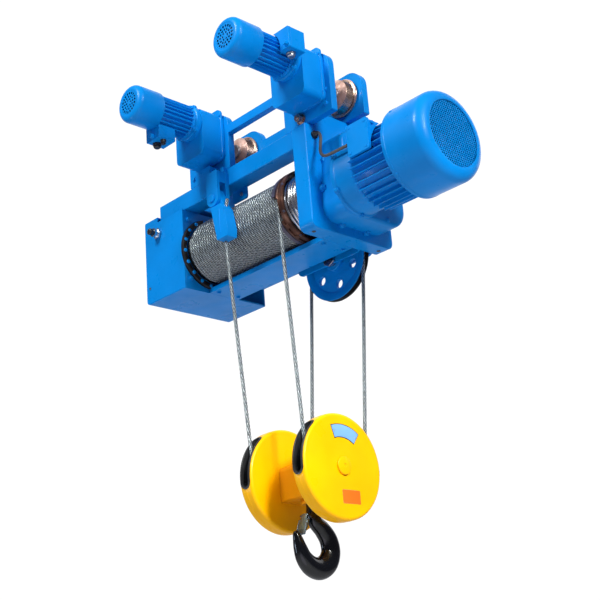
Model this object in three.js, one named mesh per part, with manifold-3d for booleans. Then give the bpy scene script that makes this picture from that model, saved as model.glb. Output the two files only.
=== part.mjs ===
// Electric wire rope hoist with a four-fall hook block, hung under a monorail by a motor-driven trolley.
// Units are millimetres, +Z is up. The origin is midway between the four trolley wheels, at the height
// where their treads run on the monorail's lower flange. +X runs along the drum towards the hoist motor.
import * as THREE from "three";
import { mergeVertices } from "three/addons/utils/BufferGeometryUtils.js";
import Module from "manifold-3d";

const wasm = await Module();
wasm.setup();

// ---------------------------------------------------------------- driving dimensions
const GAP = 0.3; // between parts that touch

const WHEEL_X = 252; // wheels stand at plus and minus this
const TREAD_R = 55;
const AXLE_Z = TREAD_R;
const SIDE_IN = 78; // inner face of both trolley side frames
const SIDE_OUT = 104;

const END_Y0 = -120; // front of both end frames
const END_Y1 = 253;
const BASE_Z = -456; // underside of the whole frame
const LEFT_X0 = -619;
const LEFT_X1 = -396;
const LEFT_TOP = -134;
const RIGHT_X0 = 187;
const RIGHT_X1 = 249;
const RIGHT_TOP = -90;
const BEAM_Y0 = -106;
const BEAM_Y1 = -40;
const BEAM_Z0 = -154;
const BEAM_Z1 = -88;

const DRUM_Z = -310; // drum and hoist motor share this axis, at y = 0
const DRUM_PITCH_R = 110;
const ROPE_R = 6.25;
const FALL_X = 86; // where the rope leaves the drum
const GUIDE_X0 = 70;
const GUIDE_X1 = 124;

const BAR_Y = 82; // fixed bar that stops the rope guide from turning
const BAR_Z = DRUM_Z + 110;
const PIN_X = -180; // anchor pin
const PIN_Z = -208;
const FALL_1_TOP = [-147, -138, -374]; // where the anchored fall enters its socket
const RETURN_X = 45; // return sheave turns about an axis along Y
const RETURN_Y = 190;
const RETURN_Z = -440;

const BLOCK_Z = -1190; // hook block's axle
const BLOCK_X = 28;
const SHEAVE_X = [147, -91]; // right and left sheave planes
const SHEAVE_PITCH_R = 125;
const COVER_R = 165;
const COVER_HALF = 28;

const COUNTER_Y = 108; // hoist countershaft, level with the drum
const SHAFT_R = 24.9; // drum shaft
const AXLE_R = 22; // hook block's axle
const SHANK_R = 20; // hook's shank
const FAR_PIN_R = 18; // axle of a far wheel
const NEAR_PIN_R = 20; // axle that turns with a near wheel
const TRAVEL_DX = 25; // travel motor's axis from its wheel's axle
const TRAVEL_Z = 84;

// ---------------------------------------------------------------- finishes
const finish = (color, roughness, metalness) => ({ color, roughness, metalness });
const BLUE = finish(0x0a86e0, 0.35, 0.1);
const YELLOW = finish(0xffc20a, 0.35, 0.05);
const STEEL = finish(0xb4b8bc, 0.3, 0.9);
const ROPE = finish(0xa9adb0, 0.45, 0.8);
const IRON = finish(0x8a6a5e, 0.6, 0.6);
const DARK = finish(0x1b1b1e, 0.4, 0.3);
const BRONZE = finish(0x5c3a28, 0.5, 0.6);

// ---------------------------------------------------------------- solids
function solid(geometry) {
  const g = geometry.index ? geometry : geometry.clone();
  g.deleteAttribute("normal");
  g.deleteAttribute("uv");
  const m = mergeVertices(g, 1e-3);
  const mesh = { numProp: 3, vertProperties: m.attributes.position.array };
  mesh.triVerts = new Uint32Array(m.index.array);
  return new wasm.Manifold(new wasm.Mesh(mesh));
}

const join = (...parts) => parts.reduce((a, b) => a.add(b));
const cut = (body, ...tools) => tools.reduce((a, b) => a.subtract(b), body);

function box(x0, x1, y0, y1, z0, z1) {
  const g = new THREE.BoxGeometry(x1 - x0, y1 - y0, z1 - z0);
  return solid(g.translate((x0 + x1) / 2, (y0 + y1) / 2, (z0 + z1) / 2));
}

// Turns geometry made along local +Z so that it runs along a world axis.
// Along x, local x and y become world y and z. Along y, they become world x and z, and it runs to -Y.
function aim(geometry, axis) {
  if (axis === "y") return geometry.rotateX(Math.PI / 2);
  if (axis !== "x") return geometry;
  const turn = new THREE.Matrix4();
  turn.makeBasis(
    new THREE.Vector3(0, 1, 0),
    new THREE.Vector3(0, 0, 1),
    new THREE.Vector3(1, 0, 0),
  );
  return geometry.applyMatrix4(turn);
}

// A flat outline extruded between two heights on an axis.
function prism(shape, axis, from, to, segments = 4) {
  const options = { depth: to - from, bevelEnabled: false, curveSegments: segments };
  const g = new THREE.ExtrudeGeometry(shape, options);
  g.translate(0, 0, axis === "y" ? -to : from);
  return solid(aim(g, axis));
}

function outline(points) {
  return new THREE.Shape(points.map(([u, v]) => new THREE.Vector2(u, v)));
}

// Radii go round from the lower left corner, anticlockwise.
function roundRect(u0, u1, v0, v1, r0, r1 = r0, r2 = r0, r3 = r0) {
  const s = new THREE.Shape();
  const half = Math.PI / 2;
  s.moveTo(u0 + r0, v0);
  s.absarc(u1 - r1, v0 + r1, Math.max(r1, 0.01), -half, 0, false);
  s.absarc(u1 - r2, v1 - r2, Math.max(r2, 0.01), 0, half, false);
  s.absarc(u0 + r3, v1 - r3, Math.max(r3, 0.01), half, 2 * half, false);
  s.absarc(u0 + r0, v0 + r0, Math.max(r0, 0.01), 2 * half, 3 * half, false);
  return s;
}

// A profile of [radius, distance along the axis] points turned about the axis.
// It runs from the axis back to the axis, or closes on itself when ring is true.
function turned(profile, axis, centre, segments = 32, ring = false) {
  const pts = profile.map(([r, a]) => new THREE.Vector2(r, a));
  if (ring) pts.push(pts[0].clone());
  const g = new THREE.LatheGeometry(pts, segments);
  g.rotateX(Math.PI / 2); // lathe axis y to z
  if (axis === "y") g.rotateX(-Math.PI / 2);
  if (axis === "x") g.rotateY(Math.PI / 2);
  g.translate(...centre);
  return outward(g);
}

// A solid with its faces out, whichever way round its outline was drawn.
function outward(g) {
  const s = solid(g);
  if (s.volume() > 0) return s;
  const m = g.index ? g : mergeVertices(g);
  const index = m.index.array;
  for (let i = 0; i < index.length; i += 3) {
    [index[i + 1], index[i + 2]] = [index[i + 2], index[i + 1]];
  }
  return solid(m);
}

function rod(axis, r, from, to, centre, segments = 20) {
  return turned([[0, from], [r, from], [r, to], [0, to]], axis, centre, segments);
}

function tube(axis, rIn, rOut, from, to, centre, segments = 20) {
  const profile = [[rIn, from], [rOut, from], [rOut, to], [rIn, to]];
  return turned(profile, axis, centre, segments, true);
}

// A tapering bar along a path in the YZ plane: [y, z, half depth in the plane, half width along X].
function loft(stations, x, sides = 12) {
  const curve = new THREE.CatmullRomCurve3(
    stations.map(([y, z]) => new THREE.Vector3(0, y, z)),
    false,
    "centripetal",
  );
  const last = stations.length - 1;
  const vertices = [];
  const index = [];
  stations.forEach(([y, z, depth, width], i) => {
    const t = curve.getTangent(i / last);
    for (let k = 0; k < sides; k++) {
      const a = (2 * Math.PI * k) / sides;
      const d = depth * Math.cos(a);
      vertices.push(x + width * Math.sin(a), y - d * t.z, z + d * t.y);
    }
  });
  for (let i = 0; i < last; i++) {
    for (let k = 0; k < sides; k++) {
      const a = i * sides + k;
      const b = i * sides + ((k + 1) % sides);
      index.push(a, b, a + sides, b, b + sides, a + sides);
    }
  }
  for (let k = 1; k < sides - 1; k++) {
    index.push(0, k + 1, k);
    index.push(last * sides, last * sides + k, last * sides + k + 1);
  }
  const g = new THREE.BufferGeometry();
  g.setAttribute("position", new THREE.BufferAttribute(new Float32Array(vertices), 3));
  g.setIndex(index);
  return outward(g);
}

// A convex outline with each corner rounded to its own radius: [u, v, radius], anticlockwise.
function rounded(corners) {
  const s = new THREE.Shape();
  corners.forEach(([u, v, r], i) => {
    const at = new THREE.Vector2(u, v);
    const before = new THREE.Vector2(...corners.at(i - 1)).sub(at).normalize();
    const after = new THREE.Vector2(...corners[(i + 1) % corners.length]).sub(at).normalize();
    const half = before.angleTo(after) / 2;
    const centre = before.clone().add(after).normalize().multiplyScalar(r / Math.sin(half)).add(at);
    const start = before.multiplyScalar(r / Math.tan(half)).add(at).sub(centre).angle();
    const stop = after.multiplyScalar(r / Math.tan(half)).add(at).sub(centre).angle();
    s.absarc(centre.x, centre.y, r, start, stop, false);
  });
  s.closePath();
  return s;
}

// ---------------------------------------------------------------- gears
// Straight-sided teeth with backlash. phase turns the first tooth from the local x axis, in teeth.
function gearShape(teeth, module, phase, u, v) {
  const step = (2 * Math.PI) / teeth;
  const pitch = (teeth * module) / 2;
  const points = [];
  const tip = pitch + 0.85 * module;
  const corners = [[-0.5, pitch - 1.3 * module], [-0.05, tip], [0.05, tip]];
  for (let i = 0; i < teeth; i++) {
    for (const [share, r] of corners) {
      const a = step * (i + phase + share);
      points.push([u + r * Math.cos(a), v + r * Math.sin(a)]);
    }
  }
  return outline(points);
}

const gear = (teeth, module, phase, axis, from, to, u, v) =>
  prism(gearShape(teeth, module, phase, u, v), axis, from, to);

// Phase that puts a tooth gap of the follower on the line from its own centre to the driver's centre,
// when the driver has a tooth on that line. angle is the line's direction seen from the driver.
function meshPhase(driverTeeth, driverPhase, followerTeeth, angle) {
  const step = 2 * Math.PI;
  const driverAt = (angle / step) * driverTeeth - driverPhase;
  const offset = driverAt - Math.round(driverAt);
  const followerAt = ((angle + Math.PI) / step) * followerTeeth;
  return followerAt + 0.5 + offset;
}

// ---------------------------------------------------------------- assembly
const hoist = new THREE.Group();

function node(name, body, look) {
  const m = body.getMesh();
  const g = new THREE.BufferGeometry();
  g.setAttribute("position", new THREE.BufferAttribute(m.vertProperties, 3));
  g.setIndex(new THREE.BufferAttribute(m.triVerts, 1));
  const mesh = new THREE.Mesh(g, new THREE.MeshStandardMaterial(look));
  mesh.name = name;
  hoist.add(mesh);
}

// ---------------------------------------------------------------- frame
const GEARBOX_X1 = 340; // outer face of the hoist gearbox
const FINS_X0 = 425; // where the motor's fins begin

// Outline of the hoist gearbox, drawn in by an inset: its front edge leans back towards the top.
function gearboxOutline(inset) {
  const [y0, y1] = [-74 + inset, 226 - inset];
  const [z0, z1] = [DRUM_Z - 114 + inset, DRUM_Z + 178 - inset];
  const lean = 26;
  return rounded([
    [y0, z0, 50 - inset], [y1, z0, 70 - inset], [y1, z1, 60 - inset], [y0 + lean, z1, 40 - inset],
  ]);
}

function endFrames() {
  const skin = 5;
  const wallX = LEFT_X1 - 8;
  const openY = 125; // the bearing wall stops here and leaves the back of the box open
  const shell = prism(roundRect(LEFT_X0, LEFT_X1, BASE_Z, LEFT_TOP, 16, 0, 0, 6), "y", END_Y0, END_Y1);
  const hollow = box(
    LEFT_X0 + skin, LEFT_X1 + 1, END_Y0 + skin, END_Y1 - skin, BASE_Z + skin, LEFT_TOP - skin,
  );
  const notch = box(-542 - GAP, LEFT_X1 + 1, BEAM_Y0 - 20, BEAM_Y1 + GAP, BEAM_Z0 - GAP, LEFT_TOP + 1);
  node("left_end_cover", cut(shell, hollow, notch), BLUE);

  const bearingWall = box(
    wallX, LEFT_X1, END_Y0 + skin + GAP, openY, BASE_Z + skin + GAP, BEAM_Z0 - GAP - 1,
  );
  const boss = rod("x", 62, wallX - 26, wallX + 1, [0, 0, DRUM_Z], 18);
  const bore = rod("x", SHAFT_R + 2 * GAP, wallX - 40, LEFT_X1 + 1, [0, 0, DRUM_Z], 18);
  node("left_bearing_wall", cut(join(bearingWall, boss), bore), BLUE);

  const plate = prism(
    roundRect(END_Y0, END_Y1, BASE_Z, RIGHT_TOP, 26, 26, 12, 6), "x", RIGHT_X0, RIGHT_X1,
  );
  const saddle = box(RIGHT_X0, RIGHT_X1, -74, 150, RIGHT_TOP - 1, -32);
  const wall = 8;
  const cavity = prism(
    roundRect(END_Y0 + 10, END_Y1 - 10, BASE_Z + 10, RIGHT_TOP - 12, 18),
    "x", RIGHT_X0 + wall, RIGHT_X1 - wall,
  );
  const gearWay = prism(gearboxOutline(10), "x", RIGHT_X1 - wall - 1, RIGHT_X1 + 1, 5);
  const shaftHole = rod("x", SHAFT_R + 2 * GAP, RIGHT_X0 - 1, RIGHT_X0 + wall + 1, [0, 0, DRUM_Z], 18);
  node("right_end_frame", cut(join(plate, saddle), cavity, gearWay, shaftHole), BLUE);
}

function beams() {
  const x0 = LEFT_X1 + GAP;
  const x1 = RIGHT_X0 - GAP;
  const channel = outline([
    [-12, BASE_Z], [122, BASE_Z], [122, BASE_Z + 18], [116, BASE_Z + 18],
    [116, BASE_Z + 6], [-6, BASE_Z + 6], [-6, BASE_Z + 18], [-12, BASE_Z + 18],
  ]);
  node("bottom_beam", prism(channel, "x", x0, x1), BLUE);

  const rail = prism(roundRect(BEAM_Y0, BEAM_Y1, BEAM_Z0, BEAM_Z1, 5), "x", -542, x1, 3);
  const inside = box(-543, x1 + 1, BEAM_Y0 + 6, BEAM_Y1 - 6, BEAM_Z0 + 6, BEAM_Z1 - 6);
  node("top_beam", cut(rail, inside), BLUE);

  const rearY = [223, 247];
  const rear = box(x0, x1, rearY[0], rearY[1], -392, -300);
  const bridge = box(RETURN_X - 90, RETURN_X + 80, 158, rearY[0] + 1, -296, -284);
  const strap = box(RETURN_X - 90, RETURN_X + 80, rearY[0] - 1, rearY[1], -310, -284);
  const cheekShape = roundRect(RETURN_X - 158, RETURN_X + 141, BASE_Z, -284, 22, 22, 60, 60);
  const cheeks = join(
    prism(cheekShape, "y", 158, 166, 5),
    prism(cheekShape, "y", 214, 223.5, 5),
  );
  const pinHole = rod("y", 20 + GAP, 150, 260, [RETURN_X, 0, RETURN_Z], 18);
  node("rear_beam", cut(join(rear, bridge, strap, cheeks), pinHole), BLUE);
  const pin = join(
    rod("y", 20, 152, 232, [RETURN_X, 0, RETURN_Z], 18),
    rod("y", 27, 148, 157.7, [RETURN_X, 0, RETURN_Z], 6),
  );
  node("return_sheave_pin", pin, STEEL);
}

function anchor() {
  const back = BEAM_Y0 - GAP;
  const at = [PIN_X, 0, PIN_Z];
  const [lugFront, lugIn, rearIn] = [-160, -148.5, -121];
  const block = prism(roundRect(PIN_X - 84, PIN_X - 28, -176, -66, 16, 4, 4, 4), "y", -142, back, 3);
  const lug = roundRect(PIN_X - 29, PIN_X + 29, PIN_Z - 29, -108, 28, 28, 4, 4);
  const front = prism(lug, "y", lugFront, lugIn, 4);
  const rear = prism(lug, "y", rearIn, back, 4);
  const bridge = box(PIN_X - 29, PIN_X + 27, lugFront + 1, back, -150, -110);
  const pad = prism(roundRect(PIN_X - 30, PIN_X + 25, -146, -86, 4, 14, 4, 4), "y", -124, back, 3);
  const hole = rod("y", 9 + GAP, -170, -60, at, 16);
  node("anchor_bracket", cut(join(block, front, rear, bridge, pad), hole), BLUE);

  // The socket leans along its rope: a narrow eye between the lugs, and a deeper body below them.
  const eye = prism(
    outline([
      [-206, -240], [-206, -200], [-194, -176], [-166, -176], [-154, -200], [-132, -262], [-186, -262],
    ]),
    "y", lugIn + 0.5, rearIn - 0.5,
  );
  const body = prism(
    outline([[-189, -241], [-140, -241], [-124, -262], [-108, -340], [-112, -368], [-164, -368]]),
    "y", lugFront - 2, -119,
  );
  node("wedge_socket", cut(join(eye, body), hole), BLUE);
  const pin = join(
    rod("y", 9, lugFront - 6, -107, at, 16),
    rod("y", 14, lugFront - 6, lugFront - GAP, at, 20),
  );
  node("anchor_pin", pin, BLUE);
}

// ---------------------------------------------------------------- hoist drive
function drum() {
  const at = [0, 0, DRUM_Z];
  const groove = DRUM_PITCH_R - ROPE_R;
  const body = turned(
    [
      [0, -436], [SHAFT_R, -436], [SHAFT_R, -390], [108, -390], [108, -378], [groove, -378],
      [groove, 172], [108, 172], [108, 183], [SHAFT_R, 183], [SHAFT_R, 226], [0, 226],
    ],
    "x", at, 28,
  );
  node("drum", body, STEEL);
  const inner = groove + GAP;
  node("drum_rope", tube("x", inner, DRUM_PITCH_R + ROPE_R, -372, FALL_X - 8, at, 28), ROPE);
  const gear4 = gear(26, 6, 0, "x", 199, 222, 0, DRUM_Z);
  node("drum_gear", cut(gear4, rod("x", SHAFT_R + GAP, 190, 230, at, 28)), STEEL);

  const guide = join(
    tube("x", 117, 123, GUIDE_X0, GUIDE_X1, at, 26),
    tube("x", 117, 126, GUIDE_X1 - 10, GUIDE_X1, at, 26),
    box(GUIDE_X0, GUIDE_X1, 50, 90, DRUM_Z + 96, DRUM_Z + 124),
  );
  const drumRoom = rod("x", 118, GUIDE_X0 - 1, GUIDE_X1 + 1, at, 26);
  const slot = box(FALL_X - 12, FALL_X + 12, -135, -90, DRUM_Z - 70, DRUM_Z + 14);
  const barHole = rod("x", 6.4, GUIDE_X0 - 1, GUIDE_X1 + 1, [0, BAR_Y, BAR_Z], 12);
  node("rope_guide", cut(guide, drumRoom, slot, barHole), BRONZE);
  node("guide_bar", rod("x", 6, LEFT_X1 + GAP, RIGHT_X0 - GAP, [0, BAR_Y, BAR_Z], 12), STEEL);
}

function hoistGearbox() {
  const at = [0, 0, DRUM_Z];
  const x0 = RIGHT_X1 + GAP;
  const dome = prism(gearboxOutline(0), "x", x0, GEARBOX_X1, 5);
  const room = prism(gearboxOutline(10), "x", x0 - 1, GEARBOX_X1 - 8, 5);
  const hole = rod("x", 30, GEARBOX_X1 - 16, GEARBOX_X1 + 4, at, 18);
  node("gearbox_cover", cut(dome, room, hole), BLUE);

  const counterAt = [0, COUNTER_Y, DRUM_Z];
  const phase3 = meshPhase(26, 0, 10, 0);
  const cluster = join(
    rod("x", 16, 198, 284, counterAt, 18),
    gear(10, 6, phase3, "x", 199, 222, COUNTER_Y, DRUM_Z),
    gear(28, 6, 0, "x", 240, 256, COUNTER_Y, DRUM_Z),
  );
  node("countershaft", cluster, STEEL);
  const phase1 = meshPhase(28, 0, 8, Math.PI);
  const rotor = join(
    rod("x", 14, 236, 700, at, 20),
    gear(8, 6, phase1, "x", 240, 256, 0, DRUM_Z),
    rod("x", 68, FINS_X0 + 18, 564, at, 18),
  );
  const blade = (k) =>
    box(646, 690, -3, 3, 20, 96).rotate([(360 / 8) * k, 0, 0]).translate([0, 0, DRUM_Z]);
  let fan = join(rod("x", 26, 640, 696, at, 20), rod("x", 100, 640, 645, at, 22));
  for (let k = 0; k < 8; k++) fan = fan.add(blade(k));
  node("motor_rotor", rotor, STEEL);
  node("motor_fan", cut(fan, rod("x", 14 + GAP, 630, 710, at, 20)), DARK);
}

function finnedShape(rRoot, rTip, fins, u, v) {
  const points = [];
  const step = (2 * Math.PI) / fins;
  for (let i = 0; i < fins; i++) {
    for (const [share, r] of [[-0.25, rRoot], [-0.14, rTip], [0.14, rTip], [0.25, rRoot]]) {
      const a = step * (i + share);
      points.push([u + r * Math.cos(a), v + r * Math.sin(a)]);
    }
  }
  return outline(points);
}

const MOTOR_R = 128; // over the fins
const BELL_R = 114; // the smooth end bell between the gearbox and the fins

function hoistMotor() {
  const at = [0, 0, DRUM_Z];
  const bell = turned(
    [
      [34, GEARBOX_X1 + GAP], [BELL_R + 6, GEARBOX_X1 + GAP], [BELL_R + 6, GEARBOX_X1 + 12],
      [BELL_R, GEARBOX_X1 + 16], [BELL_R, FINS_X0 - GAP], [34, FINS_X0 - GAP],
    ],
    "x", at, 26, true,
  );
  node("motor_end_bell", bell, BLUE);
  const fins = prism(finnedShape(112, MOTOR_R, 24, 0, DRUM_Z), "x", FINS_X0, 600);
  node("motor_housing", cut(fins, rod("x", 74, FINS_X0 - 5, 610, at, 18)), BLUE);

  const cover = turned(
    [
      [118, 600.3], [130, 600.3], [130, 582], [147, 582], [147, 716], [138, 737], [120, 744],
      [24, 744], [24, 739], [118, 739], [142, 712], [142, 606], [118, 606],
    ],
    "x", at, 28, true,
  );
  let grille = join(cover, rod("x", 24.2, 739, 744, at, 12));
  for (let k = 0; k < 8; k++) {
    const slot = box(730, 750, -9, 9, 38, 104).rotate([(360 / 8) * k, 0, 0]);
    grille = grille.subtract(slot.translate([0, 0, DRUM_Z]));
  }
  node("motor_fan_cover", grille, BLUE);
}

const LEAD_START = [RIGHT_X1, -81, -127]; // gland on the end frame
const TERMINAL = { x0: 445, x1: 527, y0: -130, y1: -44, z0: DRUM_Z + 6, z1: DRUM_Z + 106 };
const TERMINAL_GLAND = [TERMINAL.x0, -119, DRUM_Z + 60];

// The terminal box sits on the motor's shoulder, cut away round the fins.
function terminalBox() {
  const t = TERMINAL;
  const body = prism(roundRect(t.x0, t.x1, t.z0, t.z1, 6), "y", t.y0, t.y1, 3);
  const lid = prism(roundRect(t.x0 - 3, t.x1 + 3, t.z0 - 3, t.z1 + 3, 8), "y", t.y0 - 9, t.y0 + 1, 3);
  const finRoom = rod("x", MOTOR_R + 2, t.x0 - 10, t.x1 + 10, [0, 0, DRUM_Z], 40);
  const room = box(t.x0 + 8, t.x1 - 8, t.y0 + 6, t.y1 + 1, t.z0 + 40, t.z1 - 8);
  node("motor_terminal_box", cut(join(body, lid), finRoom, room), BLUE);
}

// The motor's lead is held at both ends: out of the end frame, down in a loop and into the terminal box.
function motorLead() {
  const [x, y, z] = LEAD_START;
  const [gx, gy, gz] = TERMINAL_GLAND;
  const route = [
    [x + GAP, y, z], [x + 20, y, z], [x + 34, y - 5, z - 22], [x + 40, y - 15, z - 56],
    [x + 50, y - 28, z - 88], [x + 74, gy - 2, gz + 6], [x + 106, gy - 2, gz], [gx - 30, gy, gz],
    [gx - 1, gy, gz],
  ].map((p) => new THREE.Vector3(...p));
  const section = new THREE.Shape().absarc(0, 0, 5, 0, Math.PI * 2, false);
  const path = new THREE.CatmullRomCurve3(route);
  const g = new THREE.ExtrudeGeometry(section, { steps: 24, extrudePath: path, curveSegments: 4 });
  node("motor_lead", outward(g), DARK);
}

function controlPlug() {
  const at = [-541, 0, -200];
  const body = join(
    rod("y", 19, END_Y0 - 9, END_Y0 - GAP, at, 6),
    rod("y", 15, END_Y0 - 22, END_Y0 - 8, at, 20),
    rod("y", 13, END_Y0 - 44, END_Y0 - 21, at, 20),
  );
  node("control_plug", body, DARK);
}

// ---------------------------------------------------------------- ropes and sheaves
// A sheave about an axis, with a straight-walled groove that a rope fits in.
function sheave(axis, centre, bore, webHoles, webTurn) {
  const root = SHEAVE_PITCH_R - ROPE_R - 0.5;
  const rim = SHEAVE_PITCH_R + 14;
  const profile = [
    [bore, -20], [36, -20], [36, -7], [106, -7], [rim, -14], [root, -7.2], [root, 7.2], [rim, 14],
    [106, 7], [36, 7], [36, 20], [bore, 20],
  ];
  let body = turned(profile, axis, centre, 26, true);
  for (let k = 0; k < webHoles; k++) {
    const a = (2 * Math.PI * k) / webHoles + webTurn;
    const c = [...centre];
    const [u, v] = axis === "x" ? [1, 2] : [0, 2];
    c[u] += 86 * Math.cos(a);
    c[v] += 86 * Math.sin(a);
    body = body.subtract(rod(axis, 15, -12, 12, c, 10));
  }
  return body;
}

function returnSheave() {
  const centre = [RETURN_X, RETURN_Y, RETURN_Z];
  node("return_sheave", sheave("y", centre, 20 + GAP, 6, 0.64), BLUE);
}

function ropeFalls() {
  const front = -SHEAVE_PITCH_R;
  const falls = [
    [FALL_1_TOP, [SHEAVE_X[1], front, BLOCK_Z]],
    [[FALL_X, -DRUM_PITCH_R, DRUM_Z - 2], [SHEAVE_X[0], front, BLOCK_Z]],
    [[RETURN_X - SHEAVE_PITCH_R, RETURN_Y, RETURN_Z - 2], [SHEAVE_X[1], -front, BLOCK_Z]],
    [[RETURN_X + SHEAVE_PITCH_R, RETURN_Y, RETURN_Z - 2], [SHEAVE_X[0], -front, BLOCK_Z]],
  ];
  falls.forEach(([top, bottom], i) => {
    const a = new THREE.Vector3(...top);
    const b = new THREE.Vector3(...bottom);
    const g = new THREE.CylinderGeometry(ROPE_R, ROPE_R, a.distanceTo(b), 10);
    const turn = new THREE.Quaternion();
    turn.setFromUnitVectors(new THREE.Vector3(0, 1, 0), a.clone().sub(b).normalize());
    g.applyQuaternion(turn).translate(...a.clone().add(b).multiplyScalar(0.5).toArray());
    node(`rope_fall_${i + 1}`, solid(g), ROPE);
  });
}

// ---------------------------------------------------------------- hook block
function blockCover(x, name) {
  const at = [x, 0, BLOCK_Z];
  const h = COVER_HALF;
  const bore = AXLE_R + 2 * GAP;
  const profile = [
    [bore, -h], [152, -h], [COVER_R, -h + 12], [COVER_R, h - 12], [152, h], [bore, h],
    [bore, h - 5], [150, h - 5], [160, h - 15], [160, -h + 15], [150, -h + 5], [bore, -h + 5],
  ];
  const shell = turned(profile, "x", at, 28, true);
  const slots = [-1, 1].map((side) => {
    const y = [side * 78, side * 170].sort((a, b) => a - b);
    return box(x - 20, x + 20, y[0], y[1], BLOCK_Z - 8, BLOCK_Z + 160);
  });
  node(name, cut(shell, ...slots), YELLOW);
}

function hookBlock() {
  blockCover(SHEAVE_X[0], "block_cover_right");
  blockCover(SHEAVE_X[1], "block_cover_left");
  SHEAVE_X.forEach((x, i) => {
    const name = ["block_sheave_right", "block_sheave_left"][i];
    node(name, sheave("x", [x, 0, BLOCK_Z], AXLE_R + 2 * GAP, 0, 0), DARK);
  });
  const at = [0, 0, BLOCK_Z];
  const [right, left] = [SHEAVE_X[0] + COVER_HALF, SHEAVE_X[1] - COVER_HALF];
  const axle = join(
    rod("x", AXLE_R, left - 6, right + 6, at, 24),
    rod("x", 28, right + GAP, right + 7, at, 18),
    rod("x", 28, left - 7, left - GAP, at, 18),
  );
  node("block_axle", axle, YELLOW);

  // The crosshead fills the space between the covers, and its room for the nut opens to the back.
  const half = 46;
  const [x0, x1] = [left + 2 * COVER_HALF + GAP, right - 2 * COVER_HALF - GAP];
  const floorZ = BLOCK_Z - 66;
  const body = prism(roundRect(-half, half, floorZ - 8, BLOCK_Z + 38, 8, 8, 20, 20), "x", x0, x1, 4);
  const boss = rod("z", 34, -90, -73, [BLOCK_X, 0, BLOCK_Z], 20);
  const room = box(BLOCK_X - 35, BLOCK_X + 35, -35, half + 1, floorZ, BLOCK_Z - 28);
  const axleHole = rod("x", AXLE_R + 2 * GAP, left, right, at, 24);
  const shankHole = rod("z", SHANK_R + GAP, -92, -60, [BLOCK_X, 0, BLOCK_Z]);
  node("crosshead", cut(join(body, boss), room, axleHole, shankHole), YELLOW);
  hook();
}

function hook() {
  const x = BLOCK_X;
  const path = [
    [0, -96, 20, 20], [0, -122, 21, 21], [8, -146, 24, 22], [34, -168, 28, 24], [58, -198, 31, 26],
    [62, -236, 33, 27], [44, -270, 35, 28], [10, -286, 35, 28], [-24, -279, 32, 27],
    [-50, -256, 27, 24], [-63, -226, 22, 20], [-72, -198, 15, 15], [-80, -178, 8, 9],
  ];
  const curve = loft(path.map(([y, z, d, w]) => [y, BLOCK_Z + z, d, w]), x, 10);
  const shank = rod("z", SHANK_R, -106, -40, [x, 0, BLOCK_Z], 20);
  const lugs = join(
    box(x - 20, x - 14, -38, -10, BLOCK_Z - 134, BLOCK_Z - 118),
    box(x + 14, x + 20, -38, -10, BLOCK_Z - 134, BLOCK_Z - 118),
  );
  const pin = rod("x", 3, x - 21, x + 21, [0, -32, BLOCK_Z - 126], 10);
  node("hook", join(curve, shank, lugs, pin), DARK);
  const nut = rod("z", 33, -53, -36, [x, 0, BLOCK_Z], 6);
  node("hook_nut", cut(nut, rod("z", SHANK_R + GAP, -60, -30, [x, 0, BLOCK_Z])), STEEL);
  node("hook_thrust_bearing", tube("z", SHANK_R + GAP, 32, -65.7, -53.3, [x, 0, BLOCK_Z]), STEEL);

  const leaf = outline([
    [-37, -124], [-39, -130], [-54, -170], [-60, -187], [-57, -188], [-51, -171], [-35.5, -131],
    [-35, -124],
  ].map(([y, z]) => [y, BLOCK_Z + z]));
  const knuckle = tube("x", 3 + GAP, 6.5, x - 13, x + 13, [0, -32, BLOCK_Z - 126], 16);
  const lower = box(x - 30, x + 30, -80, 0, BLOCK_Z - 200, BLOCK_Z - 139);
  const plate = join(prism(leaf, "x", x - 12, x + 12), prism(leaf, "x", x - 20, x + 20).intersect(lower));
  const clear = rod("x", 3 + GAP, x - 14, x + 14, [0, -32, BLOCK_Z - 126], 16);
  node("hook_latch", cut(join(knuckle, plate), clear), STEEL);
}

// ---------------------------------------------------------------- trolley
function sideFrames() {
  const z1 = 132;
  const z0 = BEAM_Z1 + GAP;
  const nearPlates = [-WHEEL_X, WHEEL_X].map((x) =>
    prism(roundRect(x - 110, x + 110, z0, z1, 4, 4, 50, 50), "y", -SIDE_OUT, -SIDE_IN, 4),
  );
  const nearBar = box(-WHEEL_X, WHEEL_X, -SIDE_OUT, -SIDE_IN, 46, 78);
  const seats = [-WHEEL_X, WHEEL_X].map((x) => rod("y", NEAR_PIN_R + GAP, -120, 120, [x, 0, AXLE_Z], 20));
  node("near_side_frame", cut(join(...nearPlates, nearBar), ...seats), BLUE);

  const farPlates = [-WHEEL_X, WHEEL_X].map((x) =>
    prism(roundRect(x - 84, x + 84, -31, 140, 4, 4, 60, 60), "y", SIDE_IN, SIDE_OUT, 4),
  );
  const farBar = box(-WHEEL_X, WHEEL_X, SIDE_IN, SIDE_OUT, 46, 78);
  const arm = box(-460, -WHEEL_X - 60, SIDE_IN, SIDE_OUT, -31, 6);
  const post = box(-460, -404, 20, 140, LEFT_TOP + GAP, -30);
  const farHoles = [-WHEEL_X, WHEEL_X].map((x) => rod("y", FAR_PIN_R + GAP, -120, 120, [x, 0, AXLE_Z], 20));
  node("far_side_frame", cut(join(...farPlates, farBar, arm, post), ...farHoles), BLUE);
}

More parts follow.
